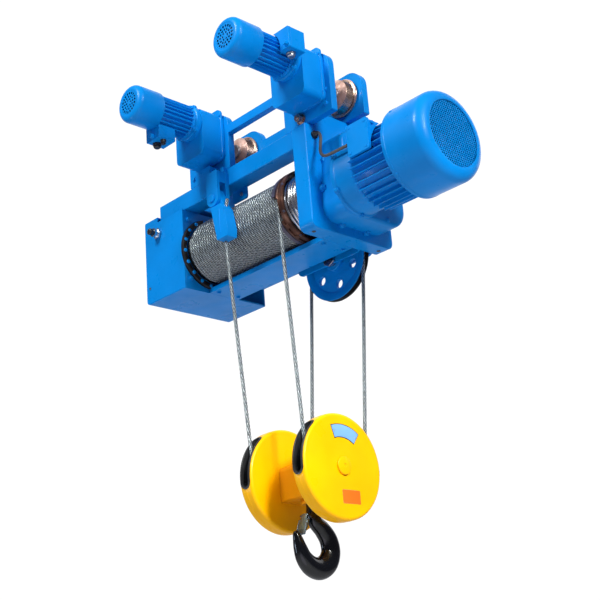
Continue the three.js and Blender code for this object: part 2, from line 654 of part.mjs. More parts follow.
function wheel(x, near) {
  const side = near ? -1 : 1;
  const at = [x, 0, AXLE_Z];
  const rim = [[40, 28], [TREAD_R - 1, 34], [TREAD_R, 64], [67, 66], [66, 74], [26, 77.5]];
  const profile = near
    ? [[0, 28], ...rim, [NEAR_PIN_R, 77.5], [NEAR_PIN_R, 168], [0, 168]]
    : [[FAR_PIN_R + GAP, 28], ...rim, [FAR_PIN_R + GAP, 77.5]];
  const flipped = profile.map(([r, a]) => [r, side * a]);
  return turned(flipped, "y", at, 24, !near);
}

const OUT_TEETH = 20;
const IN_TEETH = 8;
const TRAVEL_MODULE = 3.2;

function travelDrive(x, index) {
  const motor = [x + TRAVEL_DX, TRAVEL_Z];
  const centres = ((OUT_TEETH + IN_TEETH) * TRAVEL_MODULE) / 2;
  const span = new THREE.Vector2(TRAVEL_DX, TRAVEL_Z - AXLE_Z);
  const rise = Math.sqrt(centres ** 2 - (span.length() / 2) ** 2);
  const across = new THREE.Vector2(span.y, -span.x).normalize().multiplyScalar(rise);
  const counter = [x + span.x / 2 + across.x, AXLE_Z + span.y / 2 + across.y];
  const angle = (from, to) => Math.atan2(to[1] - from[1], to[0] - from[0]);

  const [x0, x1, z0, z1] = [x - 62, x + 88, -48, 126];
  const cased = prism(roundRect(x0, x1, z0, z1, 22), "y", -200, -SIDE_OUT - GAP, 4);
  const boss = rod("y", 62, -210, -199, [motor[0], 0, motor[1]], 18);
  const room = prism(roundRect(x0 + 8, x1 - 8, z0 + 8, z1 - 8, 14), "y", -192, -SIDE_OUT + 5, 4);
  const motorHole = rod("y", 16, -212, -190, [motor[0], 0, motor[1]], 20);
  node(`travel_gearbox_${index}`, cut(join(cased, boss), room, motorHole), BLUE);

  const wheelPhase = 0;
  const back = angle([x, AXLE_Z], counter);
  const outPhase = meshPhase(OUT_TEETH, wheelPhase, IN_TEETH, back);
  const hub = gear(OUT_TEETH, TRAVEL_MODULE, wheelPhase, "y", -164, -146, x, AXLE_Z);
  node(`near_wheel_${index}`, join(wheel(x, true), hub), IRON);
  const cluster = join(
    rod("y", 8, -190, -118, [counter[0], 0, counter[1]], 16),
    gear(IN_TEETH, TRAVEL_MODULE, outPhase, "y", -166, -144, ...counter),
    gear(OUT_TEETH, TRAVEL_MODULE, 0, "y", -186, -172, ...counter),
  );
  node(`travel_gear_${index}`, cluster, STEEL);

  const m = [motor[0], 0, motor[1]];
  const inPhase = meshPhase(OUT_TEETH, 0, IN_TEETH, angle(counter, motor));
  const rotor = join(
    rod("y", 7.5, -446, -170, m, 12),
    gear(IN_TEETH, TRAVEL_MODULE, inPhase, "y", -188, -170, ...motor),
    rod("y", 36, -336, -244, m, 16),
    rod("y", 46, -438, -414, m, 16),
  );
  node(`travel_rotor_${index}`, rotor, STEEL);

  const flange = rod("y", 64, -222, -210.3, m, 18);
  const fins = prism(finnedShape(53, 60.5, 16, ...motor), "y", -368, -221);
  const bore = rod("y", 40, -370, -226, m, 16);
  const neck = rod("y", 16, -230, -205, m, 16);
  node(`travel_motor_${index}`, cut(join(flange, fins), bore, neck), BLUE);
  const cup = [
    [0, 461], [50, 461], [62, 448], [62, 362], [66, 362], [66, 450], [60, 462], [50, 466], [0, 466],
  ].map(([r, a]) => [r, -a]);
  const cover = turned(cup, "y", m, 22);
  node(`travel_fan_cover_${index}`, cover, BLUE);

  // One motor carries its terminal box underneath and the other on its +X side.
  const under = index === 1;
  const [bx0, bx1] = under ? [-46, 24] : [34, 104];
  const [by0, by1] = under ? [-361, -291] : [-292, -223];
  const [bz0, bz1] = under ? [-104, -30] : [-22, 52];
  const shape = roundRect(m[0] + bx0, m[0] + bx1, m[2] + bz0, m[2] + bz1, 4);
  const terminals = prism(shape, "y", by0, by1, 2);
  const open = under ? [bz0 + 5, 0] : [bz0 + 5, bz1 - 5];
  const inside = box(
    m[0] + bx0 + 5, m[0] + bx1 - 5, by0 + 5, by1 - 5, m[2] + open[0], m[2] + open[1],
  );
  const clear = rod("y", 62.5, -400, -200, m, 24);
  const glandX = m[0] + (bx0 + bx1) / 2 + (under ? 0 : 22);
  const glandZ = m[2] + (under ? bz0 + 14 : bz0 + 16);
  const gland = rod("y", 9, by0 - 12, by0 + 2, [glandX, 0, glandZ], 8);
  node(`travel_terminal_box_${index}`, join(cut(terminals, inside, clear), gland), BLUE);
}

function trolley() {
  sideFrames();
  [-WHEEL_X, WHEEL_X].forEach((x, i) => {
    travelDrive(x, i + 1);
    node(`far_wheel_${i + 1}`, wheel(x, false), IRON);
    const pin = join(
      rod("y", FAR_PIN_R, 27, 116, [x, 0, AXLE_Z], 20),
      rod("y", 25, 18, 27.6, [x, 0, AXLE_Z], 20),
      rod("y", 28, SIDE_OUT + GAP, 120, [x, 0, AXLE_Z], 6),
    );
    node(`far_axle_${i + 1}`, pin, STEEL);
  });
}

// ---------------------------------------------------------------- export
endFrames();
beams();
anchor();
drum();
hoistGearbox();
hoistMotor();
terminalBox();
motorLead();
controlPlug();
returnSheave();
ropeFalls();
hookBlock();
trolley();

export default hoist;
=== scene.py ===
"""The looks of an electric wire rope hoist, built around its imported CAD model.

Meshes are made in millimetres in the frame of the CAD model and scaled to metres when they are placed.
"""
import math

import bmesh
import bpy
from mathutils import Matrix, Quaternion, Vector


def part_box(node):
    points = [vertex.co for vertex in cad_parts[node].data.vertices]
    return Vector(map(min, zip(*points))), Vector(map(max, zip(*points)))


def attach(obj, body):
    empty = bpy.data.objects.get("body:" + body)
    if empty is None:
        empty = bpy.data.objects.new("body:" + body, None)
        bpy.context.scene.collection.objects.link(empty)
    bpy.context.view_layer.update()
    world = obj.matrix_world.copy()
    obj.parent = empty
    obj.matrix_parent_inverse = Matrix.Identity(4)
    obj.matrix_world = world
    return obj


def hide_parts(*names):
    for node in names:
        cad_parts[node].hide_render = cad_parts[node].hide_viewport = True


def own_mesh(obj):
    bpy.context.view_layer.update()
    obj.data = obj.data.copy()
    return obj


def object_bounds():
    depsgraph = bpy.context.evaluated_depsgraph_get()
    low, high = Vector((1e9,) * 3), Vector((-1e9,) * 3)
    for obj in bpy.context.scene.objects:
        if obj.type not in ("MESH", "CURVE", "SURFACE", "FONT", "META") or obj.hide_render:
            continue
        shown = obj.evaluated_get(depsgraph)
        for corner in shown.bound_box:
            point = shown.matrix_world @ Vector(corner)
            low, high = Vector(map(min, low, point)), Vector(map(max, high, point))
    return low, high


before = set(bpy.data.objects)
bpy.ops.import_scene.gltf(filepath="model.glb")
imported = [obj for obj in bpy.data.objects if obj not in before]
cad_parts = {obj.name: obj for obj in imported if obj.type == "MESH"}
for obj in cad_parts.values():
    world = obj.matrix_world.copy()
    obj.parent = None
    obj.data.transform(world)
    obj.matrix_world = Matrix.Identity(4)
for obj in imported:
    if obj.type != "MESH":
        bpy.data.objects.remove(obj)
cad_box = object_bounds()

MM = 0.001
TURN = 2 * math.pi


def span(node):
    """x0, x1, y0, y1, z0, z1 of a CAD node, in millimetres."""
    lo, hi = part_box(node)
    return [value / MM for pair in zip(lo, hi) for value in pair]


def middle(node):
    x0, x1, y0, y1, z0, z1 = span(node)
    return ((x0 + x1) / 2, (y0 + y1) / 2, (z0 + z1) / 2)


# ---------------------------------------------------------------- places taken from the CAD model
DRUM_Z = middle("drum_rope")[2]
LEFT = span("left_end_cover")
RIGHT = span("right_end_frame")
TOP = span("top_beam")
BASE = span("bottom_beam")
BLOCK_Z = middle("block_axle")[2]
COVER_X = {side: middle(f"block_cover_{side}")[0] for side in ("right", "left")}
HOOK_X = middle("crosshead")[0]
RETURN_AT = middle("return_sheave")
DRUM_AT = (0, 0, DRUM_Z)
PITCH_R = 110  # rope centreline on the drum
SHEAVE_R = 125  # rope centreline on the sheaves
SIDE_FACE = span("near_side_frame")[2]
ANCHORED_AT = (-147, -138)  # x and y where the anchored fall enters its socket
ROPE_R = 6.25


# ---------------------------------------------------------------- camera
def make_camera():
    azimuth, elevation, roll = map(math.radians, (45.3, -19.6, -4.5))
    level = math.cos(elevation)
    back = Vector((math.sin(azimuth) * level, -math.cos(azimuth) * level, math.sin(elevation)))
    data = bpy.data.cameras.new("camera")
    data.sensor_width = 36
    data.lens = 69.76
    data.clip_end = 50
    camera = placed(data, "camera")
    camera.location = (2.583, -2.512, -1.888)
    camera.rotation_mode = "QUATERNION"
    camera.rotation_quaternion = back.to_track_quat("Z", "Y") @ Quaternion((0, 0, 1), roll)
    bpy.context.scene.camera = camera


# ---------------------------------------------------------------- materials
def add_node(tree, kind, inputs=(), **values):
    """A shader node. Its inputs go by name or number, each a value or the output of another node."""
    node = tree.nodes.new(kind)
    for name, value in values.items():
        setattr(node, name, value)
    for name, value in dict(inputs).items():
        if isinstance(value, bpy.types.NodeSocket):
            tree.links.new(value, node.inputs[name])
        else:
            node.inputs[name].default_value = value
    return node


class Look:
    """One node material around a Principled shader."""

    def __init__(self, name, slot, color, roughness, metallic=0.0, coat=0.0):
        self.slot = slot
        self.material = bpy.data.materials.new(name)
        self.material.use_nodes = True
        self.tree = self.material.node_tree
        self.shader = self.tree.nodes["Principled BSDF"]
        self.set("Base Color", (*color, 1))
        self.set("Roughness", roughness)
        self.set("Metallic", metallic)
        self.set("Coat Weight", coat)
        self.set("Coat Roughness", 0.08)
        self.place = self.add("ShaderNodeTexCoord").outputs["Object"]

    def set(self, socket, value):
        self.shader.inputs[socket].default_value = value

    def add(self, kind, inputs=(), **values):
        return add_node(self.tree, kind, inputs, **values)

    def noise(self, scale, detail=4.0, stretch=None):
        vector = self.place
        if stretch:
            vector = self.add("ShaderNodeMapping", {"Vector": vector, "Scale": stretch}).outputs[0]
        inputs = {"Vector": vector, "Scale": scale, "Detail": detail}
        return self.add("ShaderNodeTexNoise", inputs).outputs["Fac"]

    def ramp(self, fac, stops):
        node = self.add("ShaderNodeValToRGB", {"Fac": fac})
        elements = node.color_ramp.elements
        while len(elements) < len(stops):
            elements.new(0.5)
        for element, (at, color) in zip(elements, stops):
            element.position = at
            element.color = (*color, 1) if len(color) == 3 else color
        return node.outputs["Color"]

    def mix(self, fac, a, b, blend="MIX"):
        """A colour mixed from a and b. The colour sockets of a mix node go by number."""
        inputs = {0: fac, 6: a, 7: b}
        return self.add("ShaderNodeMix", inputs, data_type="RGBA", blend_type=blend).outputs[2]

    def to(self, socket, output):
        self.tree.links.new(output, self.shader.inputs[socket])

    def roughen(self, fac, low, high):
        inputs = {"Value": fac, "To Min": low, "To Max": high, "From Min": 0.3, "From Max": 0.7}
        self.to("Roughness", self.add("ShaderNodeMapRange", inputs).outputs[0])

    def bump(self, height, strength, distance):
        inputs = {"Height": height, "Strength": strength, "Distance": distance}
        self.to("Normal", self.add("ShaderNodeBump", inputs).outputs["Normal"])

    def edges(self, radius):
        """1 near the outer edges of a piece, 0 on its flats."""
        bevel = self.add("ShaderNodeBevel", {"Radius": radius}, samples=6).outputs[0]
        normal = self.add("ShaderNodeNewGeometry").outputs["Normal"]
        dot = self.add("ShaderNodeVectorMath", {0: bevel, 1: normal}, operation="DOT_PRODUCT")
        return self.ramp(dot.outputs["Value"], [(0.80, (1, 1, 1)), (0.97, (0, 0, 0))])


def shade(color, k):
    return tuple(min(1.0, c * k) for c in color)


def paint(name, slot, color, roughness=0.30, coat=0.06, edge_highlight=(0.75, 0.75, 0.78), gloss=0.14):
    """Sprayed gloss enamel: faint cloudiness, orange peel, and edges painted a little brighter as a
    highlight, broken up by noise.
    """
    look = Look(name, slot, color, roughness, coat=coat)
    look.set("Specular IOR Level", gloss)
    cloud = look.noise(5.0, 3.0)
    body = look.ramp(cloud, [(0.3, shade(color, 0.86)), (0.7, shade(color, 1.08))])
    # Painted highlight: the edges are lightened towards a brighter colour of the paint, in patches set by
    # noise.
    highlight_mask = look.add("ShaderNodeMath", {0: look.edges(0.0025), 1: look.noise(60.0)}, operation="MULTIPLY")
    highlight_amount = look.ramp(highlight_mask.outputs[0], [(0.42, (0, 0, 0)), (0.80, (0.35, 0.35, 0.35))])
    look.to("Base Color", look.mix(highlight_amount, body, (*edge_highlight, 1)))
    look.roughen(look.noise(14.0, 5.0), roughness * 0.8, roughness * 1.5)
    look.bump(look.noise(420.0, 2.0), 0.10, 0.0006)
    return look


def bare_metal(name, slot, color, roughness, stretch=(1, 1, 1), scale=300.0, stain=0.75):
    look = Look(name, slot, color, roughness, metallic=1.0)
    grain = look.noise(scale, 3.0, stretch=stretch)
    patches = look.noise(18.0, 5.0)
    look.to("Base Color", look.ramp(patches, [(0.35, shade(color, stain)), (0.65, color)]))
    look.roughen(grain, roughness * 0.7, roughness * 1.4)
    look.bump(grain, 0.18, 0.0004)
    return look


def cast_iron(name, slot, color, roughness, metallic=0.4, tint=None):
    """Rough casting, stained between two tones."""
    look = Look(name, slot, color, roughness, metallic=metallic)
    stain = look.noise(24.0, 8.0)
    light = tint or shade(color, 1.5)
    look.to("Base Color", look.ramp(stain, [(0.32, shade(color, 0.5)), (0.55, color), (0.75, light)]))
    look.roughen(look.noise(90.0, 4.0), roughness * 0.75, roughness * 1.3)
    look.bump(look.noise(260.0, 6.0), 0.35, 0.0008)
    return look


def wire_rope_look():
    """Galvanised strands, painted near-black in the grooves between them as shade. U is in strands round the
    rope and V runs along it.
    """
    look = Look("wire_rope", "wire_rope", (0.62, 0.65, 0.68), 0.34, metallic=0.7)
    uv = look.add("ShaderNodeTexCoord").outputs["UV"]
    around = look.add("ShaderNodeSeparateXYZ", {0: uv}).outputs[0]
    within = look.add("ShaderNodeMath", {0: around}, operation="FRACT").outputs[0]
    off = look.add("ShaderNodeMath", {0: within, 1: 0.5}, operation="SUBTRACT").outputs[0]
    crest = look.add("ShaderNodeMath", {0: off}, operation="ABSOLUTE").outputs[0]
    inputs = {"Vector": uv, "Scale": 5.0, "Distortion": 0.4, "Detail": 1.0}
    wires = look.add("ShaderNodeTexWave", inputs, bands_direction="X").outputs["Fac"]
    tone = look.ramp(look.noise(120.0, 5.0), [(0.3, (0.52, 0.58, 0.64)), (0.7, (0.95, 1.0, 1.0))])
    # Painted shade: near-black in the grooves between strands, light on their crests.
    groove_shade = look.ramp(crest, [(0.10, (0.008, 0.010, 0.010)), (0.26, (0.30, 0.33, 0.33)), (0.42, (1, 1, 1))])
    seams = look.ramp(wires, [(0.0, (0.45, 0.46, 0.48)), (0.4, (1, 1, 1))])
    toned_and_shaded = look.mix(1.0, tone, groove_shade, "MULTIPLY")
    look.to("Base Color", look.mix(1.0, toned_and_shaded, seams, "MULTIPLY"))
    look.roughen(look.noise(200.0, 3.0), 0.22, 0.40)
    look.bump(wires, 0.5, 0.0006)
    return look


def soft_look(name, slot, color, roughness, scale=500.0):
    """Rubber and moulded plastic: a fine grain and a slow change of gloss."""
    look = Look(name, slot, color, roughness)
    look.to("Base Color", look.ramp(look.noise(12.0), [(0.3, shade(color, 0.7)), (0.7, shade(color, 1.4))]))
    look.roughen(look.noise(30.0, 4.0), roughness * 0.8, roughness * 1.2)
    look.bump(look.noise(scale, 3.0), 0.2, 0.0005)
    return look


# The last colour given to each enamel is the brighter colour of its painted edge highlight.
BLUE = paint("blue_enamel", "blue_paint", (0.0, 0.235, 0.70), edge_highlight=(0.10, 0.50, 1.0))
YELLOW = paint("yellow_enamel", "yellow_paint", (1.0, 0.47, 0.0), edge_highlight=(1.0, 0.6, 0.1))
# A darker, more orange copy of the yellow enamel: painted shade for the crosshead between the covers.
SHADED_YELLOW = paint("yellow_enamel_shaded", "yellow_paint", (0.72, 0.27, 0.0), roughness=0.45, edge_highlight=(0.9, 0.4, 0.05))
BLACK = paint("black_enamel", "black_paint", (0.0015, 0.002, 0.003), roughness=0.16, coat=0.30,
              edge_highlight=(0.05, 0.05, 0.06), gloss=0.3)
STEEL = bare_metal("machined_steel", "machined_steel", (0.62, 0.63, 0.65), 0.24, stretch=(1, 8, 8))
ZINC = bare_metal("zinc_bolts", "machined_steel", (0.50, 0.52, 0.56), 0.34, stain=0.6)
LATCH = bare_metal("zinc_latch", "latch_steel", (0.20, 0.30, 0.40), 0.34)
ROPE = wire_rope_look()
WHEEL = cast_iron("wheel_casting", "wheel_iron", (0.50, 0.30, 0.25), 0.5, tint=(0.80, 0.60, 0.54))
TREAD = bare_metal("wheel_tread", "wheel_iron", (0.60, 0.42, 0.34), 0.28, stain=0.65)
GUIDE = cast_iron("guide_casting", "guide_iron", (0.075, 0.026, 0.014), 0.42, metallic=0.5,
                  tint=(0.24, 0.11, 0.07))
GUIDE_RING = cast_iron("guide_nut", "guide_iron", (0.12, 0.11, 0.16), 0.4, metallic=0.6)
SHEAVE = cast_iron("sheave_casting", "sheave_iron", (0.012, 0.012, 0.014), 0.45)
RUBBER = soft_look("black_rubber", "black_rubber", (0.012, 0.012, 0.013), 0.42)
LEAD = soft_look("lead_sheath", "black_rubber", (0.085, 0.075, 0.072), 0.5)
PLASTIC = soft_look("black_plastic", "black_plastic", (0.014, 0.014, 0.016), 0.35)
PLATE = paint("plate_enamel", "blue_paint", (0.20, 0.42, 0.80), roughness=0.4, coat=0.1)
LABEL = paint("label_film", "yellow_paint", (0.93, 0.16, 0.012), roughness=0.35, coat=0.3)


# ---------------------------------------------------------------- mesh parts, in millimetres
def put(u, v, w, axis):
    """A local point whose third coordinate runs along a world axis."""
    if axis == "x":
        return Vector((w, u, v))
    if axis == "y":
        return Vector((u, w, v))
    return Vector((u, v, w))


def outward(bm):
    """The same mesh with its faces turned to the outside."""
    bmesh.ops.recalc_face_normals(bm, faces=bm.faces)
    return bm


def as_mesh(bm, name):
    mesh = bpy.data.meshes.new(name)
    bm.to_mesh(mesh)
    bm.free()
    return mesh


def wall(bm, low, high):
    """Faces between two rings of vertices."""
    for k in range(len(low)):
        j = (k + 1) % len(low)
        bm.faces.new((low[k], low[j], high[j], high[k]))


def round_edges(bm, edges, size, steps):
    bmesh.ops.bevel(
        bm, geom=edges, offset=size, offset_type="OFFSET", segments=steps, profile=0.5,
        affect="EDGES", clamp_overlap=True,
    )


def cad(node, bevel, rim=None, rim_bevel=10.0):
    """A copy of a CAD node with its flats whole again and its sharp edges rounded, those on its rim more."""
    bm = bmesh.new()
    bm.from_mesh(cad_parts[node].data)
    bmesh.ops.scale(bm, vec=(1 / MM,) * 3, verts=bm.verts)
    bmesh.ops.remove_doubles(bm, verts=bm.verts, dist=0.005)
    bmesh.ops.dissolve_limit(bm, angle_limit=math.radians(1), verts=bm.verts, edges=bm.edges)
    sharp = math.radians(32)
    rounds = [(bevel, 2, lambda point: True)]
    if rim:
        rounds.insert(0, (rim_bevel, 6, rim))
    for size, steps, chosen in rounds:
        edges = [e for e in bm.edges if e.is_manifold and abs(e.calc_face_angle_signed(0)) > sharp
                 and all(chosen(v.co) for v in e.verts)]
        round_edges(bm, edges, size, steps)
    return bm


def lathe(profile, axis, centre, segments=96, closed=False):
    """A profile of [radius, place along the axis] points turned about the axis."""
    bm = bmesh.new()
    rings = []
    for k in range(segments):
        a = TURN * k / segments
        points = [put(r * math.cos(a), r * math.sin(a), w, axis) + Vector(centre) for r, w in profile]
        rings.append([bm.verts.new(p) for p in points])
    last = len(profile) if closed else len(profile) - 1
    for here, after in zip(rings, rings[1:] + rings[:1]):
        for i in range(last):
            j = (i + 1) % len(profile)
            bm.faces.new((here[i], after[i], after[j], here[j]))
    bmesh.ops.remove_doubles(bm, verts=bm.verts, dist=0.001)
    bmesh.ops.dissolve_degenerate(bm, edges=bm.edges, dist=0.0005)
    return outward(bm)


def skin(rings, capped=True):
    """A skin through rings of points, with flat ends or with its last ring joined to its first."""
    bm = bmesh.new()
    made = [[bm.verts.new(p) for p in ring] for ring in rings]
    for low, high in zip(made, made[1:] if capped else made[1:] + made[:1]):
        wall(bm, low, high)
    if capped:
        bm.faces.new(made[0][::-1])
        bm.faces.new(made[-1])
    return outward(bm)


def arc(u, v, r, start, stop, steps):
    """Points of a flat arc about (u, v), by angle in degrees. In a profile, u is the radius."""
    angles = [math.radians(start + (stop - start) * k / steps) for k in range(steps + 1)]
    return [(u + r * math.cos(a), v + r * math.sin(a)) for a in angles]


def hexagon(u, v, r):
    return arc(u, v, r, 0, 300, 5)


def band(r0, r1, w0, w1):
    """The profile of a plain ring, or of a plain bar where r0 is 0."""
    return [(r0, w0), (r1, w0), (r1, w1), (r0, w1)]


def mirrored(half, between=()):
    """A profile that comes back on the other side of its middle plane."""
    return [*half, *between, *[(r, -w) for r, w in reversed(half)]]


def circle(u, v, r, steps=24):
    return arc(u, v, r, 0, 360 - 360 / steps, steps - 1)


def polar(count, r, u=0.0, v=0.0, turn=0.0):
    """Evenly spaced points round a circle, the first of them at turn."""
    angles = [turn + TURN * k / count for k in range(count)]
    return [(u + r * math.cos(a), v + r * math.sin(a)) for a in angles]


def round_rect(u0, u1, v0, v1, radius, steps=6):
    corners = [(u1 - radius, v0 + radius, -90), (u1 - radius, v1 - radius, 0),
               (u0 + radius, v1 - radius, 90), (u0 + radius, v0 + radius, 180)]
    return [p for u, v, at in corners for p in arc(u, v, radius, at, at + 90, steps)]


def placed(data, name):
    obj = bpy.data.objects.new(name, data)
    bpy.context.scene.collection.objects.link(obj)
    return obj


def evaluated(obj):
    """The mesh of an object with its modifiers applied, as a bmesh."""
    mesh = bpy.data.meshes.new_from_object(obj.evaluated_get(bpy.context.evaluated_depsgraph_get()))
    bm = bmesh.new()
    bm.from_mesh(mesh)
    bpy.data.meshes.remove(mesh)
    return bm


def plate(loops, axis, lo, hi, bevel=1.0, steps=2):
    """A flat plate with holes: the first loop is its outline, and its edges are rounded."""
    curve = bpy.data.curves.new("plate", "CURVE")
    curve.dimensions = "2D"
    curve.fill_mode = "BOTH"
    curve.extrude = (hi - lo) / 2 - bevel
    curve.bevel_depth = bevel
    curve.bevel_resolution = steps
    curve.offset = -bevel
    for loop in loops:
        spline = curve.splines.new("POLY")
        spline.points.add(len(loop) - 1)
        for point, (u, v) in zip(spline.points, loop):
            point.co = (u, v, 0, 1)
        spline.use_cyclic_u = True
    holder = placed(curve, "plate")
    bm = evaluated(holder)
    bpy.data.objects.remove(holder)
    for vert in bm.verts:
        u, v, w = vert.co
        vert.co = put(u, v, w + (lo + hi) / 2, axis)
    bmesh.ops.remove_doubles(bm, verts=bm.verts, dist=0.01)
    return outward(bm)


def block(x0, x1, y0, y1, z0, z1, bevel):
    bm = bmesh.new()
    bmesh.ops.create_cube(bm, size=1)
    bmesh.ops.scale(bm, vec=(x1 - x0, y1 - y0, z1 - z0), verts=bm.verts)
    bmesh.ops.translate(bm, vec=((x0 + x1) / 2, (y0 + y1) / 2, (z0 + z1) / 2), verts=bm.verts)
    round_edges(bm, bm.edges[:], bevel, 3)
    return bm


def merged(parts):
    whole = bmesh.new()
    for part in parts:
        mesh = as_mesh(part, "part")
        whole.from_mesh(mesh)
        bpy.data.meshes.remove(mesh)
    return whole


def carve(part, *tools):
    """Cuts closed parts out of a part."""
    holders = [placed(as_mesh(bm, "carve"), "carve") for bm in (part, merged(tools))]
    cutter = holders[0].modifiers.new("cut", "BOOLEAN")
    cutter.operation = "DIFFERENCE"
    cutter.solver = "EXACT"
    cutter.use_self = True
    cutter.object = holders[1]
    bm = evaluated(holders[0])
    for holder in holders:
        bpy.data.objects.remove(holder)
    bmesh.ops.remove_doubles(bm, verts=bm.verts, dist=0.002)
    return bm


def bolt(at, axis, way, r=10.0, washer=True):
    """A hexagon head on a washer, seated at a place. way is 1 or -1 along the axis, r reaches its corners."""
    base = 2.0 if washer else 0.0
    rings = []
    for w, share in ((base, 1.0), (base + r * 0.496, 1.0), (base + r * 0.62, 0.86)):
        corners = polar(6, share * r, turn=0.3)
        rings.append([Vector(at) + put(u, v, w * way, axis) for u, v in corners])
    head = skin(rings)
    if not washer:
        return head
    profile = [(0, 0), (r * 1.18, 0), (r * 1.22, 0.3), (r * 1.22, 1.5), (r * 1.14, 2.0), (0, 2.0)]
    return merged([lathe([(a, b * way) for a, b in profile], axis, at, 20), head])


def bolts(places, axis, way, r=10.0, washer=True):
    return [bolt(at, axis, way, r, washer) for at in places]


def ring_of(count, radius, x, start):
    """Places on a bolt circle about the drum's axis, from start in degrees."""
    return [Vector(DRUM_AT) + Vector((x, u, v)) for u, v in polar(count, radius, turn=math.radians(start))]


def dome(at, out, radius, height):
    """A low round screw head standing on a surface."""
    rise = [math.radians(a) for a in (25, 50, 70)]
    crown = [(radius * math.cos(a), height * (0.4 + 0.6 * math.sin(a))) for a in rise]
    bm = lathe([(0, 0), (radius, 0), (radius, height * 0.4), *crown, (0, height)], "z", (0, 0, 0), 20)
    turn = Vector((0, 0, 1)).rotation_difference(Vector(out)).to_matrix().to_4x4()
    bmesh.ops.transform(bm, matrix=Matrix.Translation(Vector(at)) @ turn, verts=bm.verts)
    return bm


def heading(points, i):
    """The direction of a line of points at one of them."""
    return (points[min(i + 1, len(points) - 1)] - points[max(i - 1, 0)]).normalized()


def pipe(points, radius, sides):
    """A round bar along points."""
    points = [Vector(p) for p in points]
    rings = []
    normal = (points[1] - points[0]).normalized().orthogonal().normalized()
    for i, p in enumerate(points):
        t = heading(points, i)
        normal = (normal - normal.dot(t) * t).normalized()
        side = t.cross(normal)
        rings.append([p + u * normal + v * side for u, v in polar(sides, radius)])
    return skin(rings)


def smooth_route(points, steps=8):
    """Catmull-Rom points through given ones."""
    points = [Vector(p) for p in points]
    route = []
    for i in range(len(points) - 1):
        p0 = points[max(i - 1, 0)]
        p1, p2 = points[i], points[i + 1]
        p3 = points[min(i + 2, len(points) - 1)]
        for k in range(steps):
            t = k / steps
            route.append(0.5 * ((2 * p1) + (p2 - p0) * t + (2 * p0 - 5 * p1 + 4 * p2 - p3) * t * t
                                + (3 * p1 - p0 - 3 * p2 + p3) * t ** 3))
    route.append(points[-1])
    return route


def piece(name, body, look, parts, replaces=(), smooth=38, weighted=False):
    """Joins parts into one shown piece that rides on a body."""
    mesh = as_mesh(merged(parts), name)
    mesh.transform(Matrix.Scale(MM, 4))
    mesh.shade_smooth()
    mesh.set_sharp_from_angle(angle=math.radians(smooth))
    mesh.materials.clear()
    mesh.materials.append(look.material)
    obj = placed(mesh, name)
    if weighted:
        normals = obj.modifiers.new("normals", "WEIGHTED_NORMAL")
        normals.keep_sharp = True
    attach(obj, body)
    if replaces:
        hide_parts(*replaces)
    return obj


def refined(node, look, bevel, extra=(), body="frame", rim=None, rim_bevel=10.0):
    """A CAD node with rounded edges, and any extra parts of the same casting."""
    parts = [cad(node, bevel, rim, rim_bevel), *extra]
    return piece(f"{node}_skin", body, look, parts, [node], weighted=True)


# ---------------------------------------------------------------- wire rope
STRANDS = 6
LAY = 76.0  # length in which the strands make one turn


def rope_radius(angle, twist, radius):
    """Radius of the rope's surface at an angle, with its strands turned by twist."""
    lobe = TURN / STRANDS
    delta = (angle - twist) % lobe
    delta = min(delta, lobe - delta)
    core, strand = radius * 0.64, radius * 0.36
    inside = strand ** 2 - (core * math.sin(delta)) ** 2
    return core * math.cos(delta) + math.sqrt(max(inside, 0.0))


def stranded(points, across, radius, angles, closed):
    """A stranded rope along points. across gives each point's (first, second) section directions."""
    bm = bmesh.new()
    layer = bm.loops.layers.uv.new("UVMap")
    rings = []
    length = 0.0
    for i, (p, (first, second)) in enumerate(zip(points, across)):
        if i:
            length += (p - points[i - 1]).length
        twist = TURN * length / LAY
        ring = []
        for a in angles:
            out = rope_radius(a, twist, radius) * (math.cos(a) * first + math.sin(a) * second)
            ring.append((bm.verts.new(p + out), (a - twist) / TURN * STRANDS, length / LAY))
        rings.append(ring)
    count = len(angles)
    lap = STRANDS / count
    for low, high in zip(rings, rings[1:]):
        for k in range(count if closed else count - 1):
            j = (k + 1) % count
            corners = (low[k], low[j], high[j], high[k])
            us = [c[1] for c in corners]
            if closed:
                us = [low[k][1], low[k][1] + lap, high[k][1] + lap, high[k][1]]
            face = bm.faces.new([c[0] for c in corners])
            for loop, u, c in zip(face.loops, us, corners):
                loop[layer].uv = (u, c[2])
    if closed:
        bm.faces.new([c[0] for c in rings[0]][::-1])
        bm.faces.new([c[0] for c in rings[-1]])
    return bm


def straight_rope(start, stop, radius):
    sides, step = 30, 4.0
    start, stop = Vector(start), Vector(stop)
    count = int((stop - start).length / step) + 1
    points = [start.lerp(stop, k / count) for k in range(count + 1)]
    t = (stop - start).normalized()
    first = t.orthogonal().normalized()
    angles = [TURN * k / sides for k in range(sides)]
    return stranded(points, [(first, t.cross(first))] * len(points), radius, angles, True)


WOUND_PITCH = 12.9
WOUND_FROM = -366.0
WOUND_R = 5.9  # a little under the rope's own radius, so that its turns stand apart
LEAVE_X = middle("rope_guide")[0] - 11  # where the moving fall leaves the drum


def wound_rope():
    """The rope wound on the drum, ending where the moving fall leaves it at the front."""
    turns = (LEAVE_X - WOUND_FROM) / WOUND_PITCH
    steps_per_turn = 132
    points, across = [], []
    for k in range(int(turns * steps_per_turn) + 1):
        share = k / steps_per_turn
        a = math.pi - TURN * (turns - share)
        outward = Vector((0, math.cos(a), math.sin(a)))
        points.append(Vector((WOUND_FROM + WOUND_PITCH * share, 0, DRUM_Z)) + PITCH_R * outward)
        across.append((outward, Vector((1, 0, 0))))
    body = stranded(points, across, WOUND_R, [math.radians(-105 + 15 * k) for k in range(15)], False)
    first, second = across[0]
    cap = [points[0] + u * first + v * second for u, v in polar(12, WOUND_R * 0.9)]
    body.faces.new([body.verts.new(p) for p in cap])
    return body


